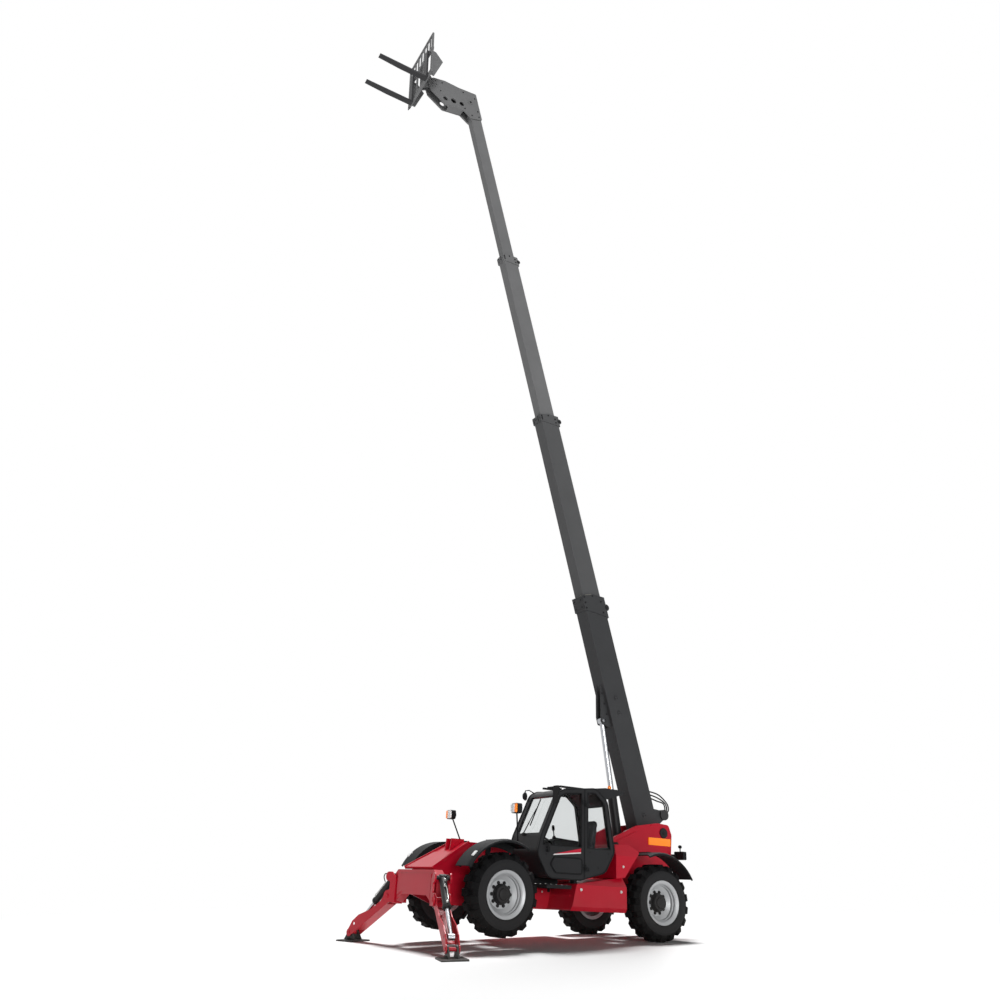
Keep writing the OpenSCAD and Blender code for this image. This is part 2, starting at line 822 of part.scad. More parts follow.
module rim(x, side) {
  seat_r = rim_r - seat_gap;
  edge = rim_w / 2;
  hub_r = spindle_r + run_gap;
  color(silver) on_wheel(x, side)
    rotate([90, 0, 0]) {
      rotate_extrude()
        polygon([[hub_r, -100], [118, -100], [130, -88], [130, -34], [205, -30], [232, -48], [rim_r - 40, -70],
            [rim_r - 40, -edge + 60], [rim_r - 24, -edge + 45], [rim_r - 24, -edge + 8],
            [rim_r - 6, -edge - 8], [rim_r + 35, -edge - 24], [rim_r + 35, -edge - 13.5],
            [seat_r, -edge - 0.5], [seat_r, edge + 0.5], [rim_r + 35, edge + 13.5],
            [rim_r + 35, edge + 24], [rim_r - 18, edge + 8], [rim_r - 18, -30], [205, 0],
            [150, -10], [130, 90], [hub_r, 90]]);
      for (a = [0:stud_count - 1])
        rotate([0, 0, a * 360 / stud_count])
          translate([165, 0, -48])
            cylinder(r = 15, h = 20, $fn = 16);
    }
}

module fender(x, a0, a1, r, y0, y1) {
  on_chassis()
    translate([x, 0, axle_z])
      rotate([90, 0, 0])
        rotate([0, 0, a0])
          rotate_extrude(angle = a1 - a0)
            polygon([[r, -y0], [r, -y1 + 60], [r - 16, -y1 + 26], [r - 34, -y1 + 14], [r - 34, -y1],
                [r - 8, -y1], [r + 12, -y1 + 40], [r + 16, -y1 + 80], [r + 12, -y0]]);
}

module fenders() {
  color(black) {
    for (side = [-1, 1])
      on_side(side) {
        fender(wheelbase, 28, 120, 765, wheel_y - 210, wheel_y + 220);
        fender(0, 68, 150, 765, wheel_y - 210, wheel_y + 220);
        on_chassis() {
          span([wheelbase - 150, rail_half_w - plate_t, 1000], [wheelbase - 60, rail_half_w - plate_t + 20, axle_z + 790]);
          span([wheelbase - 150, rail_half_w - plate_t, axle_z + 772], [wheelbase - 60, wheel_y - 150, axle_z + 790]);
          span([-100, rail_half_w + 58 + seat_gap, axle_z + 772], [0, wheel_y - 150, axle_z + 790]);
          bar_z(stalk_x, stalk_y, 30, axle_z + 690, stalk_z);
        }
      }
  }
}

module lamps() {
  color(black) on_chassis()
    for (side = [-1, 1])
      on_side(side) {
        bar_z(stalk_x, stalk_y, 22, stalk_z + seat_gap, stalk_z + 40);
        bar8([stalk_x, stalk_y, stalk_z + 30], [lamp_x, lamp_y, lamp_z], 12);
        slab_x(smooth(box2([lamp_y - 95, lamp_z - 75], [lamp_y + 95, lamp_z + 75]), 34), lamp_x - 45, lamp_x + 40);
        bar_x(lamp_y, lamp_z, 45, lamp_x - 80, lamp_x - 44);
        slab_x(smooth(box2([400, tail_z - tail_half], [640, tail_z + tail_half]), 20), tail_x - 40, tail_x + 40);
        span([tail_x + 39, 420, tail_z - 20], [-860, 440, tail_z + 20]);
        translate([tail_x, 520, tail_z])
          rotate_extrude()
            polygon([[0, tail_half - 1], [10, tail_half - 1], [10, 124], [24, 126], [34, 142], [34, 158], [24, 174],
              [10, 180], [0, 180]]);
      }
}

module lamp_lenses() {
  face = lamp_x + 40 + seat_gap;
  color(silver) on_chassis()
    for (side = [-1, 1])
      on_side(side)
        slab_x(smooth(box2([lamp_y - 85, lamp_z - 65], [lamp_y + 25, lamp_z + 65]), 24), face, face + 20);
}

module amber_lenses() {
  face = lamp_x + 40 + seat_gap;
  plate = rail_half_w + 45 + seat_gap;
  color(amber) on_chassis() {
    for (side = [-1, 1])
      on_side(side) {
        slab_x(smooth(box2([lamp_y + 33, lamp_z - 65], [lamp_y + 85, lamp_z + 65]), 18), face, face + 20);
        slab_y(smooth(box2([-835, 1525], [-325, 1650]), 14), plate, plate + 22);
      }
    translate([visor_x, visor_y, 2330 + seat_gap])
      rotate_extrude()
        polygon([[0, 0], [40, 0], [40, 12], [34, 16], [32, 62], [22, 80], [0, 86]]);
  }
}

module mirrors() {
  arm_z = 2222;
  color(black) on_chassis() {
    slab_y([[2000, 2205.3], [2060, 2177.9], [2072, 2228], [2012, 2228]], 980, 1060);
    span([2040, 1010, arm_z - 12], [2262, 1034, arm_z + 6]);
    bar_y(2252, arm_z - 3, 8, 1033, cab_left + 130);
    slab_x(smooth(box2([cab_left + 60, 1960], [cab_left + 220, 2232]), 30), 2240, 2265);
    slab_x(smooth(box2([cab_left + 80, 1980], [cab_left + 200, 2212]), 24), 2225, 2241);
  }
}

// wiper with its motor cap at the foot of the screen
module wiper() {
  foot = along(2, 0.02) - face_in(2, 1);
  tip = along(2, 0.62) - face_in(2, 1) * 26;
  elbow = along(2, 0.3) - face_in(2, 1) * 34;
  color(black) on_chassis() {
    slab_y(slope_cut(2, 0.005, 0.05, -seat_gap - 30, -seat_gap), 560, 640);
    rod([along(2, 0.028)[0] + 22, 600, along(2, 0.028)[1] + 10], [elbow[0], 660, elbow[1]], 9);
    rod([elbow[0], 660, elbow[1]], [tip[0], 700, tip[1]], 7);
    slab_y(slope_cut(2, 0.22, 0.86, -26, -10), 696, 706);
  }
}

// tread plates below the door
module steps() {
  inner = rail_half_w + 60 + 2 * seat_gap;
  color(black) on_chassis() {
    difference() {
      span([1800, inner, 715], [2275, 1080, 770]);
      for (i = [0:3])
        span([1840 + i * 105, inner + 80, 714], [1905 + i * 105, 1000, 771]);
    }
    span([1820, inner, 660], [1850, inner + 40, 716]);
    span([2225, inner, 660], [2255, inner + 40, 716]);
  }
}

// boom

module boom_base() {
  color(charcoal) on_boom() {
    difference() {
      boom_tube(-boom_tail, boom_base_len - 100, boom_depth, boom_w, boom_wall);
      bar_y(0, 0, pivot_r, -400, 400);
    }
    bar_y(0, 0, pivot_r, -rail_half_w - 45, rail_half_w + 45);
    boom_mouth(0, boom_base_len, 290);
    for (s = [357, 2245, 2530])
      for (side = [-1, 1])
        on_side(side)
          bar_y(s, -105, 48, boom_w / 2 - 1, boom_w / 2 + 10);
    for (side = [-1, 1])
      on_side(side)
        slab_y([[60, boom_over - 1], [430, boom_over - 1], [300, 470], [190, 470]], 60, 75);
    bar_y(243, 430, 95, -110, 110);
    for (side = [-1, 1])
      on_side(side)
        difference() {
          slab_y([[lift_s - 160, boom_over - boom_depth + 1], [lift_s + 700, boom_over - boom_depth + 1],
              [lift_s + 80, -lift_drop - 60], [lift_s - 60, -lift_drop - 60]], 56, 81);
          bar_y(lift_s, -lift_drop, 40, 0, 100);
        }
  }
}

module boom_second() {
  color(charcoal) on_boom()
    boom_section(1);
}

module boom_third() {
  color(charcoal) on_boom()
    boom_section(2);
}

// a sliding section, drawn run out to the end of its stroke
module boom_section(i) {
  s1 = boom_base_len + i * boom_pitch;
  s0 = s1 - boom_pitch - boom_lap;
  boom_tube(s0, s1 - 100, section_depth(i), section_w(i), boom_wall);
  boom_mouth(i, s1, 150);
  boom_heel(i, s0);
}

module boom_fourth() {
  s0 = tip_s - boom_pitch - boom_lap;
  z_top = boom_mid + section_depth(3) / 2;
  z_low = boom_mid - section_depth(3) / 2;
  pin_n = -head_drop;
  color(charcoal) on_boom() {
    boom_tube(s0, tip_s, section_depth(3), section_w(3), boom_wall);
    boom_heel(3, s0);
    for (side = [-1, 1])
      on_side(side)
        difference() {
          union() {
            slab_y(smooth([[tip_s - 200, z_low], [tip_s, -420], [tip_s + 20, -900], [tip_s + 360, pin_n - 120],
                [head_s + 40, pin_n - 150], [head_s + 150, pin_n + 20], [head_s + 150, -760],
                [tip_s + 655, -380], [tip_s + 600, z_top + 15], [tip_s - 170, z_top + 15]], 30),
              head_plate_in, head_plate_out);
            bar_y(head_s, pin_n, 110, head_plate_in, head_plate_out + 12);
            bar_y(tilt_pin_s, -tilt_pin_drop, 70, head_plate_in, head_plate_out + 8);
          }
          bar_y(tilt_pin_s, -tilt_pin_drop, 30 + run_gap, 0, 200);
          bar_y(tip_s + 180, -420, 60, 0, 200);
          bar_y(tip_s + 200, -640, 70, 0, 200);
          bar_y(tip_s + 210, -860, 60, 0, 200);
        }
    bar_y(head_s, pin_n, 45, -head_plate_out - 30, head_plate_out + 30);
    span([tip_s + 1, -head_plate_in, z_top - 20], [tip_s + 580, head_plate_in, z_top + 10]);
    slab_y([[tip_s + 2, -400], [tip_s + 20, -400], [tip_s + 36, -800], [tip_s + 18, -800]],
      -head_plate_in - 1, head_plate_in + 1);
    slab_y([[tip_s + 570, z_top - 10], [tip_s + 590, z_top - 10], [tip_s + 630, -360], [tip_s + 610, -360]],
      -head_plate_in - 1, head_plate_in + 1);
  }
}

// carriage, forks and the tilt cylinder

crank = turn2([crank_r, 0], crank_angle);

module carriage() {
  x0 = rack_x;
  x1 = rack_x + rack_t;
  half = rack_w / 2;
  mid_z = rack_z + 0.62 * rack_h;
  top_z = rack_z + rack_h;
  cheek = half - 130;
  color(charcoal) on_carriage() {
    difference() {
      bar_y(0, 0, 85, -62, 62);
      bar_y(0, 0, 45 + run_gap, -100, 100);
    }
    for (side = [-1, 1])
      on_side(side) {
        difference() {
          slab_y([[-40, -76], [x0 + 10, rack_z + 60], [x0 + 10, mid_z], [x0 - 60, mid_z], [crank[0] + 70, crank[1] + 40],
              [crank[0] - 40, crank[1] + 50], [-75, 30]], 37, 60);
          bar_y(0, 0, 45 + run_gap, 0, 100);
          bar_y(crank[0], crank[1], 30, 0, 100);
        }
        slab_y(smooth([[x0 + 10, rack_z + 20], [x0 + 10, mid_z + 20], [x0 - 110, mid_z + 20],
            [x0 - 300, mid_z - 190], [x0 - 250, mid_z - 320], [x0 - 90, rack_z + 20]], 14), cheek, cheek + 22);
        slab_y([[x0, rack_z], [x1, rack_z - 60], [x1, top_z], [x0, top_z]], half - 45, half);
        slab_y([[x0 + 2, rack_z + 20], [x1 - 2, rack_z + 20], [x1 - 2, mid_z + 10], [x0 + 2, mid_z + 10]], 165, 215);
      }
    span([x0 - 10, -half + 5, rack_z + 10], [x1, half - 5, rack_z + 100]);
    span([x0 - 10, -half + 5, mid_z - 60], [x1, half - 5, mid_z + 30]);
    for (i = [1:rack_bars - 2])
      span([x0 + 6, -half + i * rack_w / (rack_bars - 1) - 18, mid_z + 20],
        [x1 - 6, -half + i * rack_w / (rack_bars - 1) + 18, top_z - 20]);
    span([x0, -half + 5, top_z - 45], [x1, half - 5, top_z]);
  }
}

module forks() {
  heel = rack_z - 64;
  tip = fork_back + fork_len;
  color(black) on_carriage()
    for (side = [-1, 1])
      slab_y(smooth([[fork_back, heel], [fork_back + fork_len * 0.55, heel], [tip, heel + 32], [tip, heel + 44],
          [fork_back + 45, heel + 44], [fork_back + 40, rack_z + 0.62 * rack_h + 40],
          [fork_back, rack_z + 0.62 * rack_h + 40]], 4),
        side * fork_gap / 2 - 60, side * fork_gap / 2 + 60);
}

// a cylinder drawn along x from its first pin: barrel with a gland for the rod
module ram_barrel(r, length, eye_r, eye_w, pin_r, rod_r, bore_x) {
  difference() {
    union() {
      bar_x(0, 0, r, eye_r * 0.8, length);
      bar_y(0, 0, eye_r, -eye_w / 2, eye_w / 2);
    }
    bar_x(0, 0, rod_r + slide_gap, bore_x, length + 1);
  }
  bar_y(0, 0, pin_r, -eye_w / 2, eye_w / 2);
}

module ram_rod(r, x0, x1, eye_r, eye_w, pin_r) {
  difference() {
    union() {
      bar_x(0, 0, r, x0, x1 - eye_r * 0.8);
      bar_y(x1, 0, eye_r, -eye_w / 2, eye_w / 2);
    }
    bar_y(x1, 0, pin_r, -eye_w, eye_w);
  }
}

tilt_from = [tilt_pin_s - head_s, head_drop - tilt_pin_drop];
tilt_to = turn2(crank, tilt_now);
tilt_dir = tilt_to - tilt_from;
tilt_len = norm(tilt_dir);

module on_tilt() {
  on_boom()
    translate([tilt_pin_s, 0, -tilt_pin_drop])
      rotate([0, -atan2(tilt_dir[1], tilt_dir[0]), 0])
        children();
}

module tilt_barrel() {
  color(black) on_tilt() {
    ram_barrel(52, tilt_len * 0.62, 55, 100, 30, tilt_rod_r, 130);
    bar_y(0, 0, 30, -head_plate_out, head_plate_out);
  }
}

module tilt_rod() {
  color(chrome) on_tilt()
    ram_rod(tilt_rod_r, tilt_len * 0.42, tilt_len, 48, 62, 30);
}

lift_from = [lift_foot_x, lift_foot_z];
lift_to = [pivot_x, pivot_z] + turn2([lift_s, -lift_drop], boom_angle);
lift_dir = lift_to - lift_from;
lift_len = norm(lift_dir);

module on_lift() {
  on_chassis()
    translate([lift_foot_x, 0, lift_foot_z])
      rotate([0, -atan2(lift_dir[1], lift_dir[0]), 0])
        children();
}

module lift_barrel() {
  color(black) on_lift() {
    ram_barrel(85, 1380, 80, 110, 40, lift_rod_r, 120);
    bar_y(0, 0, 40, -120, 120);
  }
}

module lift_rod() {
  color(chrome) on_lift()
    ram_rod(lift_rod_r, 1230, lift_len, 70, 100, 40);
}

// stabilisers

module leg(side) {
  color(red) on_leg(side) {
    difference() {
      for (y0 = [-leg_half, leg_half - 15])
        union() {
          slab_y(smooth([[-75, -60], [-20, -88], [leg_len - 60, -60], [leg_len + 10, -50], [leg_len + 10, 50],
              [leg_len - 150, 118], [leg_len - 330, 122], [leg_len * 0.42, 42], [200, 32], [60, 80], [-75, 60]], 22), y0, y0 + 15);
          bar_y(leg_len, 0, 60, y0, y0 + 15);
        }
      bar_y(leg_eye_x, leg_eye_z, 25, -200, 200);
    }
    slab_y([[100, -84], [leg_len - 200, -64], [leg_len - 200, -50], [100, -70]], -leg_half + 14, leg_half - 14);
    bar_y(0, 0, 35 - run_gap, -leg_half - part_gap - plate_t - 10, leg_half + part_gap + plate_t + 10);
    bar_y(leg_len, 0, 25, -leg_half - 10, leg_half + 10);
  }
}

module left_leg() {
  leg(1);
}

module right_leg() {
  leg(-1);
}

// foot pad: two ears on the leg's pin over a level plate
module pad(side) {
  color(black) on_leg(side)
    translate([leg_len, 0, 0])
      on_pad_level()
        difference() {
          union() {
            for (y0 = [-78, 53]) {
              bar_y(0, 0, 50, y0, y0 + 25);
              slab_y([[-160, -pad_h + 10], [160, -pad_h + 10], [46, 20], [-46, 20]], y0, y0 + 25);
            }
            slab_y([[-215, -pad_h], [215, -pad_h], [215, -pad_h + 18], [190, -pad_h + 24], [-190, -pad_h + 24],
                [-215, -pad_h + 18]], -190, 190);
            for (side = [-1, 1])
              slab_x([[side * 77, -pad_h + 20], [side * 180, -pad_h + 20], [side * 77, -72]], -10, 10);
          }
          on_pad_pin()
            bar_y(0, 0, 25 + run_gap, -200, 200);
        }
}

// undo the leg's angle, the splay and the pitch, so that the pad lies level
module on_pad_level() {
  rotate([0, -leg_angle, 0])
    rotate([0, 0, -(90 - leg_splay)])
      rotate([0, pitch, 0])
        rotate([0, 0, 90 - leg_splay])
          children();
}

// the pin keeps the leg's own axis, so its bore undoes what on_pad_level() turned
module on_pad_pin() {
  rotate([0, 0, -(90 - leg_splay)])
    rotate([0, -pitch, 0])
      rotate([0, 0, 90 - leg_splay])
        children();
}

module left_pad() {
  pad(1);
}

module right_pad() {
  pad(-1);
}

leg_to = turn2([leg_eye_x, leg_eye_z], -leg_angle);
leg_dir = leg_to - [0, leg_head];
leg_ram_len = norm(leg_dir);

module on_leg_ram(side) {
  on_leg_foot(side)
    translate([0, 0, leg_head])
      rotate([0, -atan2(leg_dir[1], leg_dir[0]), 0])
        children();
}

module leg_barrel(side) {
  color(black) on_leg_ram(side) {
    ram_barrel(55, 600, 50, 100, 28, leg_rod_r, 78);
    bar_y(0, 0, 28, -leg_half - part_gap + seat_gap, leg_half + part_gap - seat_gap);
  }
}

module leg_rod(side) {
  color(chrome) on_leg_ram(side)
    ram_rod(leg_rod_r, 545, leg_ram_len, 42, 90, 25);
}

module left_leg_barrel() {
  leg_barrel(1);
}

module right_leg_barrel() {
  leg_barrel(-1);
}

module left_leg_rod() {
  leg_rod(1);
}

module right_leg_rod() {
  leg_rod(-1);
}

main_frame();
nose_frame();
rear_tower();
engine_block();
engine_tray();
hood();
side_box();
side_panel();
cab_floor();
cab_front();
cab_rear();
cab_right_wall();
cab_quarter();
cab_roof();
cab_glass();
door();
door_glass();
seat();
steering_column();
front_axle();
rear_axle();
fenders();
lamps();
lamp_lenses();
amber_lenses();
wiper();
steps();
mirrors();
boom_base();
boom_second();
boom_third();
boom_fourth();
carriage();
forks();
tilt_barrel();
tilt_rod();
lift_barrel();
lift_rod();
left_leg();
right_leg();
left_pad();
right_pad();
left_leg_barrel();
right_leg_barrel();
left_leg_rod();
right_leg_rod();
knuckle(wheelbase, 1);  // front_left_knuckle
knuckle(wheelbase, -1);  // front_right_knuckle
knuckle(0, 1);  // rear_left_knuckle
knuckle(0, -1);  // rear_right_knuckle
tyre(wheelbase, 1);  // front_left_tyre
tyre(wheelbase, -1);  // front_right_tyre
tyre(0, 1);  // rear_left_tyre
tyre(0, -1);  // rear_right_tyre
rim(wheelbase, 1);  // front_left_rim
rim(wheelbase, -1);  // front_right_rim
rim(0, 1);  // rear_left_rim
rim(0, -1);  // rear_right_rim
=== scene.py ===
"""Looks of a telescopic handler: finishes, small parts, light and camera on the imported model."""

import json
import logging
import math
from dataclasses import dataclass
from enum import Enum
from typing import Sequence

import bmesh
import bpy
from mathutils import Matrix, Vector


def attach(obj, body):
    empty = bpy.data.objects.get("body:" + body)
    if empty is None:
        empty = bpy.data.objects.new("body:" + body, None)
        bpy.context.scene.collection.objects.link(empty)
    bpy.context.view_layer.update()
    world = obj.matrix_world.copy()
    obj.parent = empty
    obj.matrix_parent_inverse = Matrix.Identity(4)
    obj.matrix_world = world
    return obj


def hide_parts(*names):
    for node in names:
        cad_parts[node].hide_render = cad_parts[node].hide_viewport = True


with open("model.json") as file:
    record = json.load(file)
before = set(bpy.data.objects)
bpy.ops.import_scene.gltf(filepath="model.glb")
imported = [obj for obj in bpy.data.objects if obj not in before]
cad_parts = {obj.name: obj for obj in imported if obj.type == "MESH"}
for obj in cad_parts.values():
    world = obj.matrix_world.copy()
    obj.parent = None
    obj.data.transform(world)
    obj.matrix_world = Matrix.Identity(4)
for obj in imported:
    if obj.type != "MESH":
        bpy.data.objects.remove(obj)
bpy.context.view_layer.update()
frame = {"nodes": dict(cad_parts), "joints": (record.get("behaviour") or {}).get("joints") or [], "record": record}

IMAGE_SIZE = 1000
log = logging.getLogger("telehandler")

Colour = tuple[float, float, float]
Point = tuple[float, float]
Spot = tuple[Vector, Vector, float]

SIDES = (-1.0, 1.0)
ACROSS = Vector((0, 1, 0))
UP = Vector((0, 0, 1))


class Slot(Enum):
    """Material slots of the record, which the CAD nodes take their finish from."""

    RED = "red_paint"
    CHARCOAL = "charcoal_paint"
    BLACK = "black_paint"
    PLASTIC = "black_plastic"
    CHROME = "chrome_rod"
    SILVER = "silver_paint"
    RUBBER = "tyre_rubber"
    GLASS = "cab_glazing"
    FABRIC = "seat_cover"


@dataclass(frozen=True)
class Machine:
    """Places on the level machine: metres, x ahead of the rear axle, z above level ground."""

    rear_axle: Vector
    pitch: float
    tyre_radius: float
    boom_pivot: Vector
    boom_axis: Vector

    @classmethod
    def from_frame(cls) -> "Machine":
        """Read the axles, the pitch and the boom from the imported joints.

        Returns:
            The machine's places.
        """
        joints = {joint["name"]: joint for joint in frame["joints"]}
        rear = Vector(joints["rear_left_spin"]["pos_m"])
        front = Vector(joints["front_left_spin"]["pos_m"])
        return cls(
            rear_axle=Vector((rear.x, 0.0, rear.z)),
            pitch=math.atan2(front.z - rear.z, front.x - rear.x),
            tyre_radius=rear.z,
            boom_pivot=Vector(joints["boom_lift"]["pos_m"]),
            boom_axis=Vector(joints["telescope_second"]["axis"]),
        )

    def chassis(self) -> Matrix:
        """Matrix from the level machine's frame to the part's frame."""
        turn = Matrix.Rotation(-self.pitch, 4, "Y")
        return Matrix.Translation(self.rear_axle) @ turn @ Matrix.Translation((0, 0, -self.tyre_radius))

    def boom(self) -> Matrix:
        """Matrix from the boom's frame, x along it from the pivot and z to its back, to the part's frame."""
        angle = math.atan2(self.boom_axis.z, self.boom_axis.x)
        return Matrix.Translation(self.boom_pivot) @ Matrix.Rotation(-angle, 4, "Y")


class NodeGraph:
    """Shorthand for building a node tree."""

    def __init__(self, tree: bpy.types.NodeTree) -> None:
        """Keep the tree that nodes are added to."""
        self.tree = tree

    def add(self, kind: str, **settings: object) -> bpy.types.Node:
        """Add a node.

        Args:
            kind: Blender's node type name.
            settings: attributes to set on the node.

        Returns:
            The new node.
        """
        node = self.tree.nodes.new(kind)
        for name, value in settings.items():
            setattr(node, name, value)
        return node

    def link(self, source: bpy.types.NodeSocket, target: bpy.types.NodeSocket) -> None:
        """Join an output socket to an input socket."""
        self.tree.links.new(source, target)

    @staticmethod
    def fill(node: bpy.types.Node, values: dict[str, object]) -> bpy.types.Node:
        """Set a node's inputs.

        Args:
            node: the node.
            values: values by the inputs' names.

        Returns:
            The same node.
        """
        for label, value in values.items():
            node.inputs[label].default_value = value
        return node

    def _feed(self, socket: bpy.types.NodeSocket, value: object) -> None:
        """Link a socket to an input socket, or set a number or a colour on it.

        Args:
            socket: the input socket.
            value: a socket, a number or a colour.
        """
        if isinstance(value, bpy.types.NodeSocket):
            self.link(value, socket)
        else:
            socket.default_value = (*value, 1.0) if isinstance(value, tuple) else value

    def math(self, operation: str, first: object, second: object = 0.0) -> bpy.types.NodeSocket:
        """Add a math node.

        Args:
            operation: name of the operation.
            first: a socket or a number.
            second: a socket or a number.

        Returns:
            The node's output socket.
        """
        node = self.add("ShaderNodeMath", operation=operation)
        for socket, value in zip(node.inputs, (first, second)):
            self._feed(socket, value)
        return node.outputs[0]

    def mix(self, factor: bpy.types.NodeSocket, first: object, second: object) -> bpy.types.NodeSocket:
        """Mix two colours.

        Args:
            factor: socket that drives the mix.
            first: colour or socket at factor zero.
            second: colour or socket at factor one.

        Returns:
            The mixed colour's socket.
        """
        node = self.add("ShaderNodeMix", data_type="RGBA")
        self.link(factor, node.inputs[0])
        for socket, value in zip(node.inputs[6:8], (first, second)):
            self._feed(socket, value)
        return node.outputs[2]

    def seen(self) -> bpy.types.NodeSocket:
        """One for rays from the camera, from a reflection or through glass, and zero for light.

        Returns:
            The mask's socket.
        """
        path = self.add("ShaderNodeLightPath")
        direct = self.math("MAXIMUM", path.outputs["Is Camera Ray"], path.outputs["Is Glossy Ray"])
        return self.math("MAXIMUM", direct, path.outputs["Is Transmission Ray"])

    def blend(self, share: bpy.types.NodeSocket, first: bpy.types.Node, second: bpy.types.Node,
              sink: str) -> None:
        """Mix two shaders and put the result out.

        Args:
            share: socket with the second shader's share.
            first: the first shader.
            second: the second shader.
            sink: name of the tree's output node.
        """
        mixed = self.add("ShaderNodeMixShader")
        for socket, source in zip(mixed.inputs, (share, first.outputs[0], second.outputs[0])):
            self.link(source, socket)
        self.link(mixed.outputs[0], self.tree.nodes[sink].inputs["Surface"])


class EffectGroups:
    """Shader node groups that several finishes share, each on Object coordinates."""

    SPOT_LEVEL = 0.76
    SPOT_REACH = 0.4
    SPOT_EDGE = 12.0

    def __init__(self) -> None:
        """Build each group once."""
        self.grain = self._grain()
        self.scuffs = self._scuffs()
        self.dust = self._dust()

    def _new(self, name: str, inputs: dict[str, float], outputs: Sequence[str]) -> NodeGraph:
        """Start a group with named float sockets.

        Args:
            name: the group's name.
            inputs: default values of its inputs by name.
            outputs: names of its outputs.

        Returns:
            A graph over the new group.
        """
        tree = bpy.data.node_groups.new(name, "ShaderNodeTree")
        for label, value in inputs.items():
            socket = tree.interface.new_socket(label, in_out="INPUT", socket_type="NodeSocketFloat")
            socket.default_value = value
        for label in outputs:
            tree.interface.new_socket(label, in_out="OUTPUT", socket_type="NodeSocketFloat")
        graph = NodeGraph(tree)
        self.source, self.sink = graph.add("NodeGroupInput").outputs, graph.add("NodeGroupOutput").inputs
        self.coords = graph.add("ShaderNodeTexCoord").outputs["Object"]
        return graph

    def _noise(self, graph: NodeGraph, values: dict[str, float], scale: str = "") -> bpy.types.NodeSocket:
        """Add a noise.

        Args:
            graph: the group's graph.
            values: values of the noise's inputs by name.
            scale: name of the group's input that scales it, if one does.

        Returns:
            The noise's value.
        """
        noise = graph.fill(graph.add("ShaderNodeTexNoise"), values)
        graph.link(self.coords, noise.inputs["Vector"])
        if scale:
            graph.link(self.source[scale], noise.inputs["Scale"])
        return noise.outputs["Fac"]

    def _put_mask(self, graph: NodeGraph, value: bpy.types.NodeSocket) -> bpy.types.NodeTree:
        """Clamp a value, put it out as the group's mask and give the tree back.

        Args:
            graph: the group's graph.
            value: socket with the value.

        Returns:
            The group's tree.
        """
        clamp = graph.add("ShaderNodeClamp")
        graph.link(value, clamp.inputs["Value"])
        graph.link(clamp.outputs[0], self.sink["Mask"])
        return graph.tree

    def _grain(self) -> bpy.types.NodeTree:
        """Fine orange-peel or moulded grain: a height and a slow tone.

        Returns:
            The group.
        """
        graph = self._new("surface_grain", {"Scale": 300.0, "Tone Scale": 2.0}, ("Height", "Tone"))
        for label, output, detail in (("Scale", "Height", 2.0), ("Tone Scale", "Tone", 5.0)):
            graph.link(self._noise(graph, {"Detail": detail}, label), self.sink[output])
        return graph.tree

    def _scuffs(self) -> bpy.types.NodeTree:
        """Sparse scratches and rubbed spots as a mask.

        Returns:
            The group.
        """
        graph = self._new("rubbed_spots", {"Scale": 9.0, "Amount": 0.2}, ("Mask",))
        broad = self._noise(graph, {"Detail": 8.0, "Roughness": 0.7}, "Scale")
        reach = graph.math("MULTIPLY", self.source["Amount"], self.SPOT_REACH)
        above = graph.math("SUBTRACT", broad, graph.math("SUBTRACT", self.SPOT_LEVEL, reach))
        return self._put_mask(graph, graph.math("MULTIPLY", above, self.SPOT_EDGE))

    def _dust(self) -> bpy.types.NodeTree:
        """Dust that thins out with height above the ground, as a mask.

        Returns:
            The group.
        """
        graph = self._new("ground_dust", {"Top": 1.2, "Amount": 0.3}, ("Mask",))
        split = graph.add("ShaderNodeSeparateXYZ")
        graph.link(self.coords, split.inputs[0])
        cloud = self._noise(graph, {"Scale": 3.5, "Detail": 7.0})
        low = graph.math("SUBTRACT", 1.0, graph.math("DIVIDE", split.outputs["Z"], self.source["Top"]))
        patchy = graph.math("MULTIPLY", low, cloud)
        return self._put_mask(graph, graph.math("MULTIPLY", patchy, self.source["Amount"]))


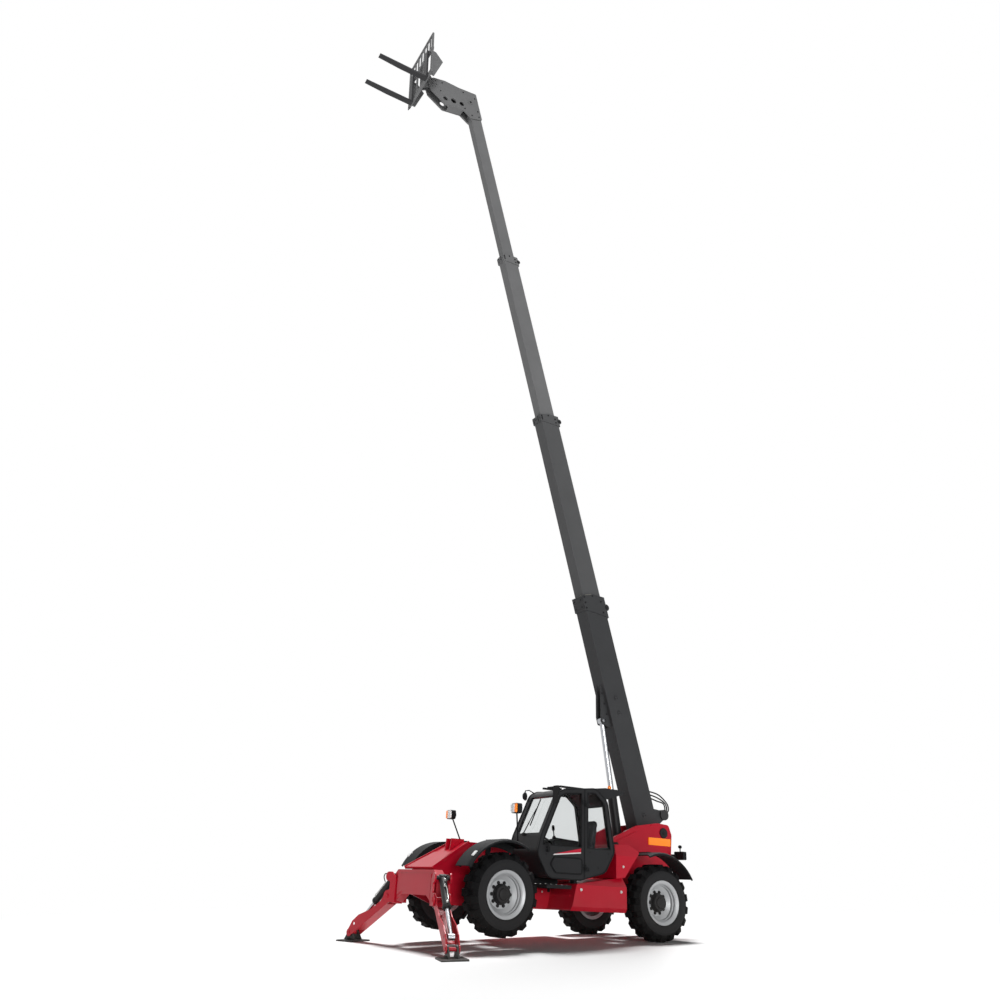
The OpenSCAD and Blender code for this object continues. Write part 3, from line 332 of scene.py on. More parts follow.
@dataclass(frozen=True)
class Finish:
    """A surface finish with its own grain, tone, rubbed spots and dust."""

    name: str
    colour: Colour
    roughness: float
    metallic: float = 0.0
    coat: float = 0.0
    gloss: float = 0.5
    tone: float = 0.12
    grain_scale: float = 260.0
    bump: float = 0.02
    worn: Colour = (0.35, 0.34, 0.33)
    wear: float = 0.12
    dust: float = 0.12
    dust_top: float = 1.1
    dust_colour: Colour = (0.36, 0.32, 0.27)
    dust_roughness: float = 0.5
    rough_spread: float = 0.16
    coat_roughness: float = 0.12
    bump_distance: float = 0.002

    def build(self, groups: EffectGroups) -> bpy.types.Material:
        """Make the material.

        Args:
            groups: the shared effects.

        Returns:
            The new material.
        """
        material = bpy.data.materials.new(self.name)
        material.use_nodes = True
        material.diffuse_color = (*self.colour, 1.0)
        graph = NodeGraph(material.node_tree)
        shader = graph.fill(material.node_tree.nodes["Principled BSDF"], {
            "Metallic": self.metallic, "Specular IOR Level": self.gloss, "Coat Weight": self.coat,
            "Coat Roughness": self.coat_roughness})
        grain = graph.fill(graph.add("ShaderNodeGroup", node_tree=groups.grain), {"Scale": self.grain_scale})
        scuffs = graph.fill(graph.add("ShaderNodeGroup", node_tree=groups.scuffs), {"Amount": self.wear})
        dust = graph.fill(graph.add("ShaderNodeGroup", node_tree=groups.dust), {
            "Amount": self.dust, "Top": self.dust_top})
        darker = tuple(channel * (1.0 - self.tone) for channel in self.colour)
        lighter = tuple(min(1.0, channel * (1.0 + self.tone)) for channel in self.colour)
        colour = graph.mix(grain.outputs["Tone"], darker, lighter)
        colour = graph.mix(scuffs.outputs["Mask"], colour, self.worn)
        colour = graph.mix(dust.outputs["Mask"], colour, self.dust_colour)
        graph.link(colour, shader.inputs["Base Color"])
        rough = graph.math("MULTIPLY_ADD", grain.outputs["Tone"], self.rough_spread)
        rough.node.inputs[2].default_value = self.roughness - self.rough_spread / 2
        dusty = graph.math("ADD", rough, graph.math("MULTIPLY", dust.outputs["Mask"], self.dust_roughness))
        graph.link(dusty, shader.inputs["Roughness"])
        bump = graph.fill(graph.add("ShaderNodeBump"), {
            "Strength": self.bump, "Distance": self.bump_distance})
        graph.link(grain.outputs["Height"], bump.inputs["Height"])
        graph.link(bump.outputs[0], shader.inputs["Normal"])
        return material


@dataclass(frozen=True)
class GlassFinish:
    """Tinted safety glass or a lamp lens."""

    name: str
    colour: Colour
    roughness: float = 0.03
    transmission: float = 0.92
    glow: float = 0.0
    bend: float = 1.45
    smear_scale: float = 40.0
    smear: float = 0.06

    def build(self, groups: EffectGroups) -> bpy.types.Material:
        """Make the material.

        Args:
            groups: the shared effects.

        Returns:
            The new material.
        """
        material = bpy.data.materials.new(self.name)
        material.use_nodes = True
        material.diffuse_color = (*self.colour, 0.4)
        graph = NodeGraph(material.node_tree)
        shader = graph.fill(material.node_tree.nodes["Principled BSDF"], {
            "Base Color": (*self.colour, 1.0), "Transmission Weight": self.transmission, "IOR": self.bend})
        grain = graph.fill(graph.add("ShaderNodeGroup", node_tree=groups.grain), {"Scale": self.smear_scale})
        smear = graph.math("MULTIPLY_ADD", grain.outputs["Tone"], self.smear)
        smear.node.inputs[2].default_value = self.roughness
        graph.link(smear, shader.inputs["Roughness"])
        if self.glow:
            graph.fill(shader, {"Emission Color": (*self.colour, 1.0), "Emission Strength": self.glow})
        return material


FINISHES: tuple[Finish, ...] = (
    Finish("red_enamel", (0.46, 0.002, 0.018), 0.36, coat=0.10, gloss=0.2, tone=0.10,
           worn=(0.26, 0.008, 0.016)),
    Finish("charcoal_enamel", (0.019, 0.0195, 0.021), 0.46, gloss=0.14, tone=0.18, worn=(0.06, 0.06, 0.062)),
    Finish("boom_enamel", (0.046, 0.047, 0.049), 0.50, gloss=0.12, tone=0.16,
           worn=(0.08, 0.08, 0.082), dust=0.0),
    # Painted light: the second section and the head take lighter copies of the boom's grey paint, so the boom
    # brightens towards its head; the paint itself is the same all along.
    Finish("section_enamel_painted_lighter", (0.085, 0.086, 0.088), 0.50, gloss=0.12, tone=0.14,
           worn=(0.12, 0.12, 0.12), dust=0.0),
    Finish("head_enamel_painted_lighter", (0.150, 0.151, 0.153), 0.50, gloss=0.15, tone=0.14,
           worn=(0.20, 0.20, 0.20), dust=0.0),
    Finish("black_enamel", (0.009, 0.009, 0.010), 0.45, gloss=0.2, tone=0.2, worn=(0.04, 0.04, 0.04)),
    Finish("moulded_plastic", (0.010, 0.0105, 0.0115), 0.62, gloss=0.12, grain_scale=700.0, bump=0.12,
           worn=(0.03, 0.03, 0.03)),
    Finish("hard_chrome", (0.43, 0.44, 0.46), 0.24, metallic=1.0, tone=0.05, wear=0.02, dust=0.03),
    Finish("silver_enamel", (0.42, 0.43, 0.44), 0.38, metallic=0.3, gloss=0.4, tone=0.06,
           worn=(0.28, 0.27, 0.26), dust=0.15),
    # Painted light and shade: the tyre's rubber is kept very dark, as painted shade on the down-facing tread, and
    # the sidewalls take a lighter copy of it, as painted light. The tyre is one rubber.
    Finish("tyre_rubber", (0.0055, 0.0055, 0.006), 0.84, gloss=0.10, grain_scale=420.0, bump=0.2, wear=0.05,
           worn=(0.02, 0.019, 0.018), dust=0.04),
    Finish("wall_rubber_painted_lighter", (0.020, 0.020, 0.021), 0.82, gloss=0.15, grain_scale=420.0, bump=0.15, wear=0.05,
           worn=(0.03, 0.03, 0.03), dust=0.05),
    Finish("hose_rubber", (0.009, 0.009, 0.010), 0.55, gloss=0.3, grain_scale=500.0, bump=0.1, wear=0.02,
           worn=(0.03, 0.03, 0.03)),
    Finish("seat_cloth", (0.022, 0.023, 0.026), 0.9, gloss=0.2, grain_scale=900.0, bump=0.3,
           wear=0.0, dust=0.0),
    Finish("fork_steel", (0.020, 0.020, 0.022), 0.5, gloss=0.4, tone=0.3,
           worn=(0.16, 0.155, 0.15), wear=0.25),
    Finish("engine_iron", (0.10, 0.10, 0.105), 0.7, metallic=0.3, grain_scale=120.0, bump=0.2),
    Finish("zinc_plate", (0.55, 0.55, 0.53), 0.34, metallic=0.9, tone=0.08,
           worn=(0.40, 0.39, 0.36), dust=0.06),
    Finish("pad_nylon", (0.30, 0.285, 0.24), 0.55, gloss=0.3, tone=0.08, worn=(0.20, 0.19, 0.17), dust=0.0),
    Finish("stripe_red", (0.52, 0.006, 0.030), 0.36, gloss=0.3, tone=0.05, wear=0.03,
           worn=(0.30, 0.02, 0.03)),
    Finish("stripe_white", (0.76, 0.76, 0.75), 0.40, gloss=0.3, tone=0.04, wear=0.03,
           worn=(0.55, 0.54, 0.52)),
    Finish("mirror_glass", (0.80, 0.82, 0.84), 0.10, metallic=1.0, tone=0.02, wear=0.0, dust=0.0, bump=0.0),
    Finish("side_lamp", (0.84, 0.85, 0.86), 0.22, coat=0.3, tone=0.03, wear=0.0, dust=0.02),
)
GLASSES: tuple[GlassFinish, ...] = (
    GlassFinish("cab_glazing", (0.82, 0.835, 0.835), transmission=1.0, bend=1.14),
    GlassFinish("clear_lens", (0.92, 0.94, 0.95), 0.08, 0.6, 0.15),
    GlassFinish("amber_lens", (1.0, 0.30, 0.01), 0.12, 0.2, 0.2),
    GlassFinish("red_lens", (0.62, 0.01, 0.01), 0.12, 0.2, 0.05),
)


class Paintshop:
    """All materials by name, which CAD node takes which, and the record's slot of each new piece's finish."""

    BY_SLOT = {
        Slot.RED: "red_enamel", Slot.CHARCOAL: "charcoal_enamel", Slot.BLACK: "black_enamel",
        Slot.PLASTIC: "moulded_plastic", Slot.CHROME: "hard_chrome", Slot.SILVER: "silver_enamel",
        Slot.RUBBER: "tyre_rubber", Slot.GLASS: "cab_glazing", Slot.FABRIC: "seat_cloth",
    }
    # The upper boom sections and the carriage take the lighter grey copies, as painted light towards the boom's
    # head.
    BY_NODE = {"boom_base": "boom_enamel", "boom_second": "section_enamel_painted_lighter", "boom_third": "head_enamel_painted_lighter",
               "boom_fourth": "head_enamel_painted_lighter", "carriage": "head_enamel_painted_lighter"}
    SLOT_OF = {
        "red_enamel": Slot.RED, "red_lens": Slot.RED, "stripe_red": Slot.RED, "black_enamel": Slot.BLACK,
        "moulded_plastic": Slot.PLASTIC, "pad_nylon": Slot.PLASTIC, "mirror_glass": Slot.CHROME,
        "zinc_plate": Slot.SILVER, "side_lamp": Slot.SILVER, "stripe_white": Slot.SILVER,
        "wall_rubber_painted_lighter": Slot.RUBBER, "hose_rubber": Slot.RUBBER, "seat_cloth": Slot.FABRIC,
    }

    def __init__(self) -> None:
        """Build every finish once."""
        groups = EffectGroups()
        self.materials = {finish.name: finish.build(groups) for finish in (*FINISHES, *GLASSES)}

    def __getitem__(self, name: str) -> bpy.types.Material:
        """The material of that name."""
        return self.materials[name]

    def coat_nodes(self) -> None:
        """Give each CAD node the finish of its slot in the record, or its finish in BY_NODE, which gives the upper
        boom sections painted-lighter copies of the boom's grey.
        """
        named = {slot.value: finish for slot, finish in self.BY_SLOT.items()}
        for row in frame["record"]["subparts"]:
            finish = named.get(row["material_slot"], row["material_slot"])
            self.coat(frame["nodes"][row["node"]], self.BY_NODE.get(row["node"], finish))

    def coat(self, piece: bpy.types.Object, finish: str) -> None:
        """Put one finish all over a piece.

        Args:
            piece: the object.
            finish: name of the finish.
        """
        if not piece.data.materials:
            piece.data.materials.append(None)
        for index in range(len(piece.material_slots)):
            piece.material_slots[index].link = "OBJECT"
            piece.material_slots[index].material = self.materials[finish]


class Shape:
    """Vertices and faces of one piece, gathered from simple forms in one frame."""

    MERGE = 2e-5
    SLIVER = 1e-5
    BEVEL_FROM = 0.6
    BEVEL_PROFILE = 0.6
    SHARP_FROM = 35.0

    def __init__(self, place: Matrix) -> None:
        """Start an empty shape.

        Args:
            place: matrix from the shape's own frame to the part's frame.
        """
        self.place = place
        self.mesh = bmesh.new()

    def ring_stack(self, rings: Sequence[Sequence[Vector]], capped: bool = True,
                   looped: bool = False) -> "Shape":
        """Skin a row of point rings that have the same number of points.

        Args:
            rings: closed rings, in order.
            capped: close the first and the last ring with a face.
            looped: join the last ring to the first.

        Returns:
            The shape itself.
        """
        rows = [[self.mesh.verts.new(point) for point in ring] for ring in rings]
        pairs = list(zip(rows, rows[1:] + rows[:1])) if looped else list(zip(rows, rows[1:]))
        for lower, upper in pairs:
            count = len(lower)
            for index in range(count):
                after = (index + 1) % count
                self.mesh.faces.new((lower[index], lower[after], upper[after], upper[index]))
        if capped and not looped:
            self.mesh.faces.new(rows[0])
            self.mesh.faces.new(rows[-1])
        return self

    def plate(self, outline: Sequence[Point], low: float, high: float, plane: str = "xz") -> "Shape":
        """Add a flat plate.

        Args:
            outline: points in the plane.
            low: where the plate starts, along the third axis.
            high: where it ends.
            plane: the two axes that the outline is drawn on.

        Returns:
            The shape itself.
        """
        axes = ["xyz".index(letter) for letter in plane]
        third = 3 - sum(axes)
        rings = []
        for level in (low, high):
            ring = []
            for first, second in outline:
                point = Vector((0.0, 0.0, 0.0))
                point[axes[0]], point[axes[1]], point[third] = first, second, level
                ring.append(point)
            rings.append(ring)
        return self.ring_stack(rings)

    def turned(self, profile: Sequence[Point], centre: Vector, axis: Vector, steps: int = 32) -> "Shape":
        """Add a turned form from a closed profile.

        Args:
            profile: points of distance along the axis and radius.
            centre: a point on the axis.
            axis: direction of the axis.
            steps: sides of the turned form.

        Returns:
            The shape itself.
        """
        axis = axis.normalized()
        side = axis.orthogonal().normalized()
        other = axis.cross(side)
        rings = []
        for step in range(steps):
            angle = math.tau * step / steps
            spoke = side * math.cos(angle) + other * math.sin(angle)
            rings.append([centre + axis * along + spoke * radius for along, radius in profile])
        return self.ring_stack(rings, looped=True)

    def pipe(self, path: Sequence[Vector], radius: float, sides: int = 12) -> "Shape":
        """Add a round bar along a path.

        Args:
            path: points of its middle line.
            radius: radius of the bar.
            sides: sides of its section.

        Returns:
            The shape itself.
        """
        rings = []
        side = (path[1] - path[0]).orthogonal().normalized()
        for index, point in enumerate(path):
            along = (path[min(index + 1, len(path) - 1)] - path[max(index - 1, 0)]).normalized()
            side = (side - along * side.dot(along)).normalized()
            other = along.cross(side)
            angles = [math.tau * step / sides for step in range(sides)]
            rings.append([point + (side * math.cos(angle) + other * math.sin(angle)) * radius
                          for angle in angles])
        return self.ring_stack(rings)

    def finish(self, name: str, bevel: float = 0.0, smooth: bool = True) -> bpy.types.Object:
        """Make the object, with its place in its mesh.

        Args:
            name: the piece's name.
            bevel: width of its rounded edges.
            smooth: shade round forms smoothly.

        Returns:
            The new object.
        """
        bmesh.ops.remove_doubles(self.mesh, verts=self.mesh.verts, dist=self.MERGE)
        bmesh.ops.dissolve_degenerate(self.mesh, edges=self.mesh.edges, dist=self.SLIVER)
        bmesh.ops.transform(self.mesh, matrix=self.place, verts=self.mesh.verts)
        if bevel:
            sharp = [edge for edge in self.mesh.edges
                     if edge.is_manifold and edge.calc_face_angle(0.0) > self.BEVEL_FROM]
            bmesh.ops.bevel(self.mesh, geom=sharp, offset=bevel, segments=2, affect="EDGES",
                            profile=self.BEVEL_PROFILE)
        bmesh.ops.recalc_face_normals(self.mesh, faces=self.mesh.faces)
        data = bpy.data.meshes.new(name)
        self.mesh.to_mesh(data)
        self.mesh.free()
        if smooth:
            data.shade_smooth()
            data.set_sharp_from_angle(angle=math.radians(self.SHARP_FROM))
        piece = bpy.data.objects.new(name, data)
        bpy.context.collection.objects.link(piece)
        return piece


def rounded(low: Point, high: Point, radius: float) -> list[Point]:
    """Outline of a rectangle with round corners.

    Args:
        low: its lowest corner.
        high: its highest corner.
        radius: radius of the corners.

    Returns:
        The outline's points.
    """
    points = []
    for cx, cy, start in ((high[0] - radius, high[1] - radius, 0), (low[0] + radius, high[1] - radius, 90),
                          (low[0] + radius, low[1] + radius, 180), (high[0] - radius, low[1] + radius, 270)):
        for step in range(5):
            angle = math.radians(start + 22.5 * step)
            points.append((cx + radius * math.cos(angle), cy + radius * math.sin(angle)))
    return points


def eased(points: Sequence[Vector], steps: int = 8) -> list[Vector]:
    """Smooth path through points.

    Args:
        points: the points to pass.
        steps: new points for each span.

    Returns:
        The path's points.
    """
    row = [points[0] * 2 - points[1], *points, points[-1] * 2 - points[-2]]
    path = []
    for a, b, c, d in zip(row, row[1:], row[2:], row[3:]):
        for step in range(steps):
            t = step / steps
            path.append(0.5 * (2 * b + (c - a) * t + (2 * a - 5 * b + 4 * c - d) * t * t
                               + (3 * b - a - 3 * c + d) * t ** 3))
    return [*path, points[-1]]


def ring_of_spots(centre: Vector, circle: float, count: int, facing: Vector, size: float,
                  phase: float = 0.0) -> list[Spot]:
    """Fasteners on a circle in the plane of x and z.

    Args:
        centre: the circle's centre.
        circle: its radius.
        count: how many fasteners.
        facing: direction that they face.
        size: radius of a head.
        phase: share of a step that the first one is turned by.

    Returns:
        Point, facing and size of each.
    """
    angles = [math.tau * (step + phase) / count for step in range(count)]
    return [(centre + Vector((math.cos(angle), 0.0, math.sin(angle))) * circle, facing, size)
            for angle in angles]


class NodeTools:
    """Geometry Nodes trees: fasteners set on points, and a rubber trim drawn along edges."""

    WASHER_SIDES = 16
    LIP_SIDES = 10

    def __init__(self) -> None:
        """Build both trees once."""
        self.fasteners = self._fasteners()
        self.trim = self._trim()

    @staticmethod
    def _start(name: str,
               inputs: Sequence[tuple[str, str]]) -> tuple[NodeGraph, bpy.types.Node, bpy.types.Node]:
        """Start a tree with a geometry in, a geometry out and named inputs.

        Args:
            name: the tree's name.
            inputs: names and socket types of its inputs.

        Returns:
            The graph, its input node and its output node.
        """
        tree = bpy.data.node_groups.new(name, "GeometryNodeTree")
        tree.interface.new_socket("Geometry", in_out="INPUT", socket_type="NodeSocketGeometry")
        for label, kind in inputs:
            tree.interface.new_socket(label, in_out="INPUT", socket_type=kind)
        tree.interface.new_socket("Geometry", in_out="OUTPUT", socket_type="NodeSocketGeometry")
        graph = NodeGraph(tree)
        return graph, graph.add("NodeGroupInput"), graph.add("NodeGroupOutput")

    @staticmethod
    def _end(graph: NodeGraph, source: bpy.types.Node, sink: bpy.types.Node,
             last: bpy.types.NodeSocket) -> None:
        """Realise the instances, set the material and put the geometry out.

        Args:
            graph: the tree's graph.
            source: its input node.
            sink: its output node.
            last: socket with the finished geometry.
        """
        real = graph.add("GeometryNodeRealizeInstances")
        graph.link(last, real.inputs["Geometry"])
        coat = graph.add("GeometryNodeSetMaterial")
        graph.link(real.outputs["Geometry"], coat.inputs["Geometry"])
        graph.link(source.outputs["Material"], coat.inputs["Material"])
        graph.link(coat.outputs["Geometry"], sink.inputs["Geometry"])

    def _fasteners(self) -> bpy.types.NodeTree:
        """Heads on washers, one on each point, turned to the point's facing and scaled by its size.

        Returns:
            The tree.
        """
        graph, source, sink = self._start("fasteners_on_points", (
            ("Head Sides", "NodeSocketInt"), ("Head Radius", "NodeSocketFloat"),
            ("Head Height", "NodeSocketFloat"), ("Washer Radius", "NodeSocketFloat"),
            ("Washer Height", "NodeSocketFloat"), ("Material", "NodeSocketMaterial")))
        joined = graph.add("GeometryNodeJoinGeometry")
        for sides, radius, height in ((source.outputs["Head Sides"], "Head Radius", "Head Height"),
                                      (None, "Washer Radius", "Washer Height")):
            drum = graph.add("GeometryNodeMeshCylinder")
            drum.inputs["Vertices"].default_value = self.WASHER_SIDES
            if sides is not None:
                graph.link(sides, drum.inputs["Vertices"])
            graph.link(source.outputs[radius], drum.inputs["Radius"])
            graph.link(source.outputs[height], drum.inputs["Depth"])
            lift = graph.add("ShaderNodeCombineXYZ")
            graph.link(graph.math("MULTIPLY", source.outputs[height], 0.5), lift.inputs["Z"])
            moved = graph.add("GeometryNodeTransform")
            graph.link(drum.outputs["Mesh"], moved.inputs["Geometry"])
            graph.link(lift.outputs[0], moved.inputs["Translation"])
            graph.link(moved.outputs["Geometry"], joined.inputs["Geometry"])
        facing = graph.add("GeometryNodeInputNamedAttribute", data_type="FLOAT_VECTOR")
        facing.inputs["Name"].default_value = "facing"
        size = graph.add("GeometryNodeInputNamedAttribute", data_type="FLOAT")
        size.inputs["Name"].default_value = "size"
        turn = graph.add("FunctionNodeAlignRotationToVector", axis="Z")
        graph.link(facing.outputs[0], turn.inputs["Vector"])
        placed = graph.add("GeometryNodeInstanceOnPoints")
        graph.link(source.outputs["Geometry"], placed.inputs["Points"])
        graph.link(joined.outputs["Geometry"], placed.inputs["Instance"])
        graph.link(turn.outputs[0], placed.inputs["Rotation"])
        graph.link(size.outputs[0], placed.inputs["Scale"])
        self._end(graph, source, sink, placed.outputs["Instances"])
        return graph.tree

    def _trim(self) -> bpy.types.NodeTree:
        """A round rubber lip along every edge of the mesh.

        Returns:
            The tree.
        """
        graph, source, sink = self._start("trim_along_edges", (
            ("Radius", "NodeSocketFloat"), ("Material", "NodeSocketMaterial")))
        line = graph.add("GeometryNodeMeshToCurve")
        graph.link(source.outputs["Geometry"], line.inputs["Mesh"])
        round_bar = graph.add("GeometryNodeCurvePrimitiveCircle")
        round_bar.inputs["Resolution"].default_value = self.LIP_SIDES
        graph.link(source.outputs["Radius"], round_bar.inputs["Radius"])
        lip = graph.add("GeometryNodeCurveToMesh")
        graph.link(line.outputs["Curve"], lip.inputs["Curve"])
        graph.link(round_bar.outputs["Curve"], lip.inputs["Profile Curve"])
        smooth = graph.add("GeometryNodeSetShadeSmooth")
        graph.link(lip.outputs["Mesh"], smooth.inputs["Geometry"])
        self._end(graph, source, sink, smooth.outputs["Geometry"])
        return graph.tree

    @staticmethod
    def run(tree: bpy.types.NodeTree, data: bpy.types.Mesh, name: str,
            values: dict[str, object]) -> bpy.types.Object:
        """Run a tree on a mesh and keep the result as a plain mesh.

        Args:
            tree: the Geometry Nodes tree.
            data: the mesh that it starts from.
            name: the new piece's name.
            values: values of the tree's named inputs.

        Returns:
            The finished object.
        """
        piece = bpy.data.objects.new(name, data)
        bpy.context.collection.objects.link(piece)
        modifier = piece.modifiers.new(name, "NODES")
        modifier.node_group = tree
        for item in tree.interface.items_tree:
            if item.in_out == "INPUT" and item.name in values:
                modifier[item.identifier] = values[item.name]
        graph = bpy.context.evaluated_depsgraph_get()
        result = bpy.data.meshes.new_from_object(piece.evaluated_get(graph), depsgraph=graph)
        piece.modifiers.clear()
        piece.data = result
        result.name = name
        return piece


class Bench:
    """What every sub-assembly needs to make and place a piece."""

    FASTENER = {"Head Radius": 1.0, "Head Height": 1.0, "Washer Radius": 1.35, "Washer Height": 0.3}
    SAME_FACING = 0.98
    MERGE = 1e-5
    HOSE_ROUNDNESS = 3

    def __init__(self, machine: Machine, shop: Paintshop) -> None:
        """Keep the machine's places and the finishes.

        Args:
            machine: the machine's places.
            shop: the finishes.
        """
        self.machine = machine
        self.shop = shop
        self.tools = NodeTools()
        self.joints = {joint["name"]: joint for joint in frame["joints"]}

    def place(self, piece: bpy.types.Object, body: str, finish: str) -> bpy.types.Object:
        """Finish a piece and let it ride.

        Args:
            piece: the object.
            body: the body that it rides on.
            finish: name of its finish.

        Returns:
            The same object.
        """
        self.shop.coat(piece, finish)
        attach(piece, body)
        log.info("%s on %s, %d faces", piece.name, body, len(getattr(piece.data, "polygons", ())))
        return piece

    def fasten(self, name: str, body: str, place: Matrix, spots: Sequence[Spot], finish: str = "black_enamel",
               sides: int = 6) -> bpy.types.Object:
        """Set fasteners on a body.

        Args:
            name: the piece's name.
            body: the body that they ride on.
            place: matrix from the spots' frame to the part's frame.
            spots: point, facing and size of each, where size is the head's radius in metres.
            finish: name of their finish.
            sides: sides of a head.

        Returns:
            The finished object.
        """
        data = bpy.data.meshes.new(name)
        data.from_pydata([place @ point for point, _, _ in spots], [], [])
        turn = place.to_3x3()
        data.attributes.new("facing", "FLOAT_VECTOR", "POINT")
        data.attributes.new("size", "FLOAT", "POINT")
        facings, sizes = data.attributes["facing"].data, data.attributes["size"].data
        for index, (_, normal, radius) in enumerate(spots):
            facings[index].vector = (turn @ normal).normalized()
            sizes[index].value = radius
        values = {"Head Sides": sides, "Material": self.shop[finish], **self.FASTENER}
        return self.place(self.tools.run(self.tools.fasteners, data, name, values), body, finish)

    def trim(self, name: str, body: str, node: str, facing: Vector, radius: float) -> bpy.types.Object:
        """Draw a rubber lip round the flat outer faces of a CAD node.

        Args:
            name: the piece's name.
            body: the body that it rides on.
            node: the CAD node whose outline it follows.
            facing: direction that the outlined faces look in.
            radius: radius of the lip.

        Returns:
            The finished object.
        """
        work = bmesh.new()
        work.from_mesh(frame["nodes"][node].data)
        bmesh.ops.remove_doubles(work, verts=work.verts, dist=self.MERGE)
        work.normal_update()
        edges = []
        for edge in work.edges:
            flat = [face.normal.dot(facing) > self.SAME_FACING for face in edge.link_faces]
            if sorted(flat) == [False, True]:
                edges.append(edge)
        corners = {vert: None for edge in edges for vert in edge.verts}
        index = {vert: number for number, vert in enumerate(corners)}
        data = bpy.data.meshes.new(name)
        data.from_pydata([vert.co.copy() for vert in index],
                         [tuple(index[vert] for vert in edge.verts) for edge in edges], [])
        work.free()
        values = {"Radius": radius, "Material": self.shop["moulded_plastic"]}
        return self.place(self.tools.run(self.tools.trim, data, name, values), body, "moulded_plastic")

    def hose(self, name: str, body: str, place: Matrix, points: Sequence[tuple[float, float, float]],
             diameter: float) -> bpy.types.Object:
        """Lay a hydraulic hose that leaves the machine and goes back into it.

        Args:
            name: the piece's name.
            body: the body that it rides on.
            place: matrix from the points' frame to the part's frame.
            points: points that the hose passes.
            diameter: its outer diameter.

        Returns:
            The finished object.
        """
        path = [place @ point for point in eased([Vector(point) for point in points])]
        data = bpy.data.curves.new(name, "CURVE")
        data.dimensions = "3D"
        data.bevel_depth = diameter / 2
        data.bevel_resolution = self.HOSE_ROUNDNESS
        data.use_fill_caps = True
        spline = data.splines.new("POLY")
        spline.points.add(len(path) - 1)
        for knot, point in zip(spline.points, path):
            knot.co = (*point, 1.0)
        piece = bpy.data.objects.new(name, data)
        bpy.context.collection.objects.link(piece)
        self.place(piece, body, "hose_rubber")
        return piece


class Corner(Enum):
    """The four wheels."""

    FRONT_LEFT = "front_left"
    FRONT_RIGHT = "front_right"
    REAR_LEFT = "rear_left"
    REAR_RIGHT = "rear_right"


@dataclass
class Wheels:
    """Bulged sidewalls, black hub covers and wheel nuts on the four wheels."""

    rim_radius: float = 0.305
    bead_radius: float = 0.3412
    shoulder_radius: float = 0.486
    half_width: float = 0.194
    bulge: float = 0.016
    bulge_power: float = 0.7
    bead_drop: float = 0.008
    ring_shares: tuple[float, ...] = (0.16, 0.24, 0.80)
    ring_height: float = 0.0035
    ring_spread: float = 0.03
    wall_steps: int = 24
    wall_back: tuple[Point, ...] = ((-0.004, 0.181), (-0.004, 0.100), (-0.019, 0.0362))
    stud_circle: float = 0.165
    stud_count: int = 10
    stud_seat: float = 0.0325
    stud_size: float = 0.0205
    cap_circle: float = 0.096
    cap_count: int = 8
    cap_seat: float = 0.124
    cap_size: float = 0.007
    cover: tuple[Point, ...] = (
        (0.0345, 0.1305), (0.0345, 0.149), (0.044, 0.149), (0.052, 0.139), (0.092, 0.136), (0.108, 0.128),
        (0.120, 0.122), (0.124, 0.104), (0.124, 0.088), (0.138, 0.080), (0.146, 0.052), (0.148, 0.0),
        (0.1003, 0.0), (0.1003, 0.1185), (0.0882, 0.1305))

    def build(self, bench: Bench) -> None:
        """Dress each wheel.

        Args:
            bench: what makes and places the pieces.
        """
        for corner in Corner:
            side = 1.0 if corner.value.endswith("left") else -1.0
            centre = Vector(bench.joints[f"{corner.value}_spin"]["pos_m"])
            turn = Matrix.Rotation(-bench.machine.pitch, 4, "Y")
            place = Matrix.Translation(centre) @ turn @ Matrix.Scale(side, 4, (0, 1, 0))
            self._hub(bench, corner, place)
            self._walls(bench, corner, place)

    def _hub(self, bench: Bench, corner: Corner, place: Matrix) -> None:
        """A stepped black cover over the hub, and hexagon nuts round it.

        Args:
            bench: what makes and places the pieces.
            corner: which wheel.
            place: matrix from the wheel's frame to the part's frame.
        """
        body = f"{corner.value}_wheel"
        cover = Shape(place).turned(self.cover, Vector(), ACROSS, 40)
        bench.place(cover.finish(f"{corner.value}_hub_cover"), body, "black_enamel")
        spots = ring_of_spots(ACROSS * self.stud_seat, self.stud_circle, self.stud_count, ACROSS,
                              self.stud_size)
        spots += ring_of_spots(ACROSS * self.cap_seat, self.cap_circle, self.cap_count, ACROSS,
                               self.cap_size, 0.5)
        bench.fasten(f"{corner.value}_wheel_nuts", body, place, spots)

    def _walls(self, bench: Bench, corner: Corner, place: Matrix) -> None:
        """Bulged sidewalls with raised rings, outside and inside, in a lighter copy of the tyre's rubber that
        paints light on them.

        Args:
            bench: what makes and places the pieces.
            corner: which wheel.
            place: matrix from the wheel's frame to the part's frame.
        """
        profile = []
        for step in range(self.wall_steps + 1):
            share = step / self.wall_steps
            lift = self.bulge * math.sin(math.pi * share) ** self.bulge_power
            lift -= self.bead_drop * (1 - share)
            for ring in self.ring_shares:
                lift += self.ring_height * max(0.0, 1.0 - abs(share - ring) / self.ring_spread)
            radius = self.bead_radius + (self.shoulder_radius - self.bead_radius) * share
            profile.append((self.half_width + lift, radius))
        profile += [(self.half_width + along, self.rim_radius + radius) for along, radius in self.wall_back]
        walls = Shape(place)
        for sign in (1.0, -1.0):
            walls.turned([(along * sign, radius) for along, radius in profile], Vector(), ACROSS, 72)
        # The sidewalls' lighter rubber is painted light.
        bench.place(walls.finish(f"{corner.value}_sidewalls"), f"{corner.value}_wheel", "wall_rubber_painted_lighter")


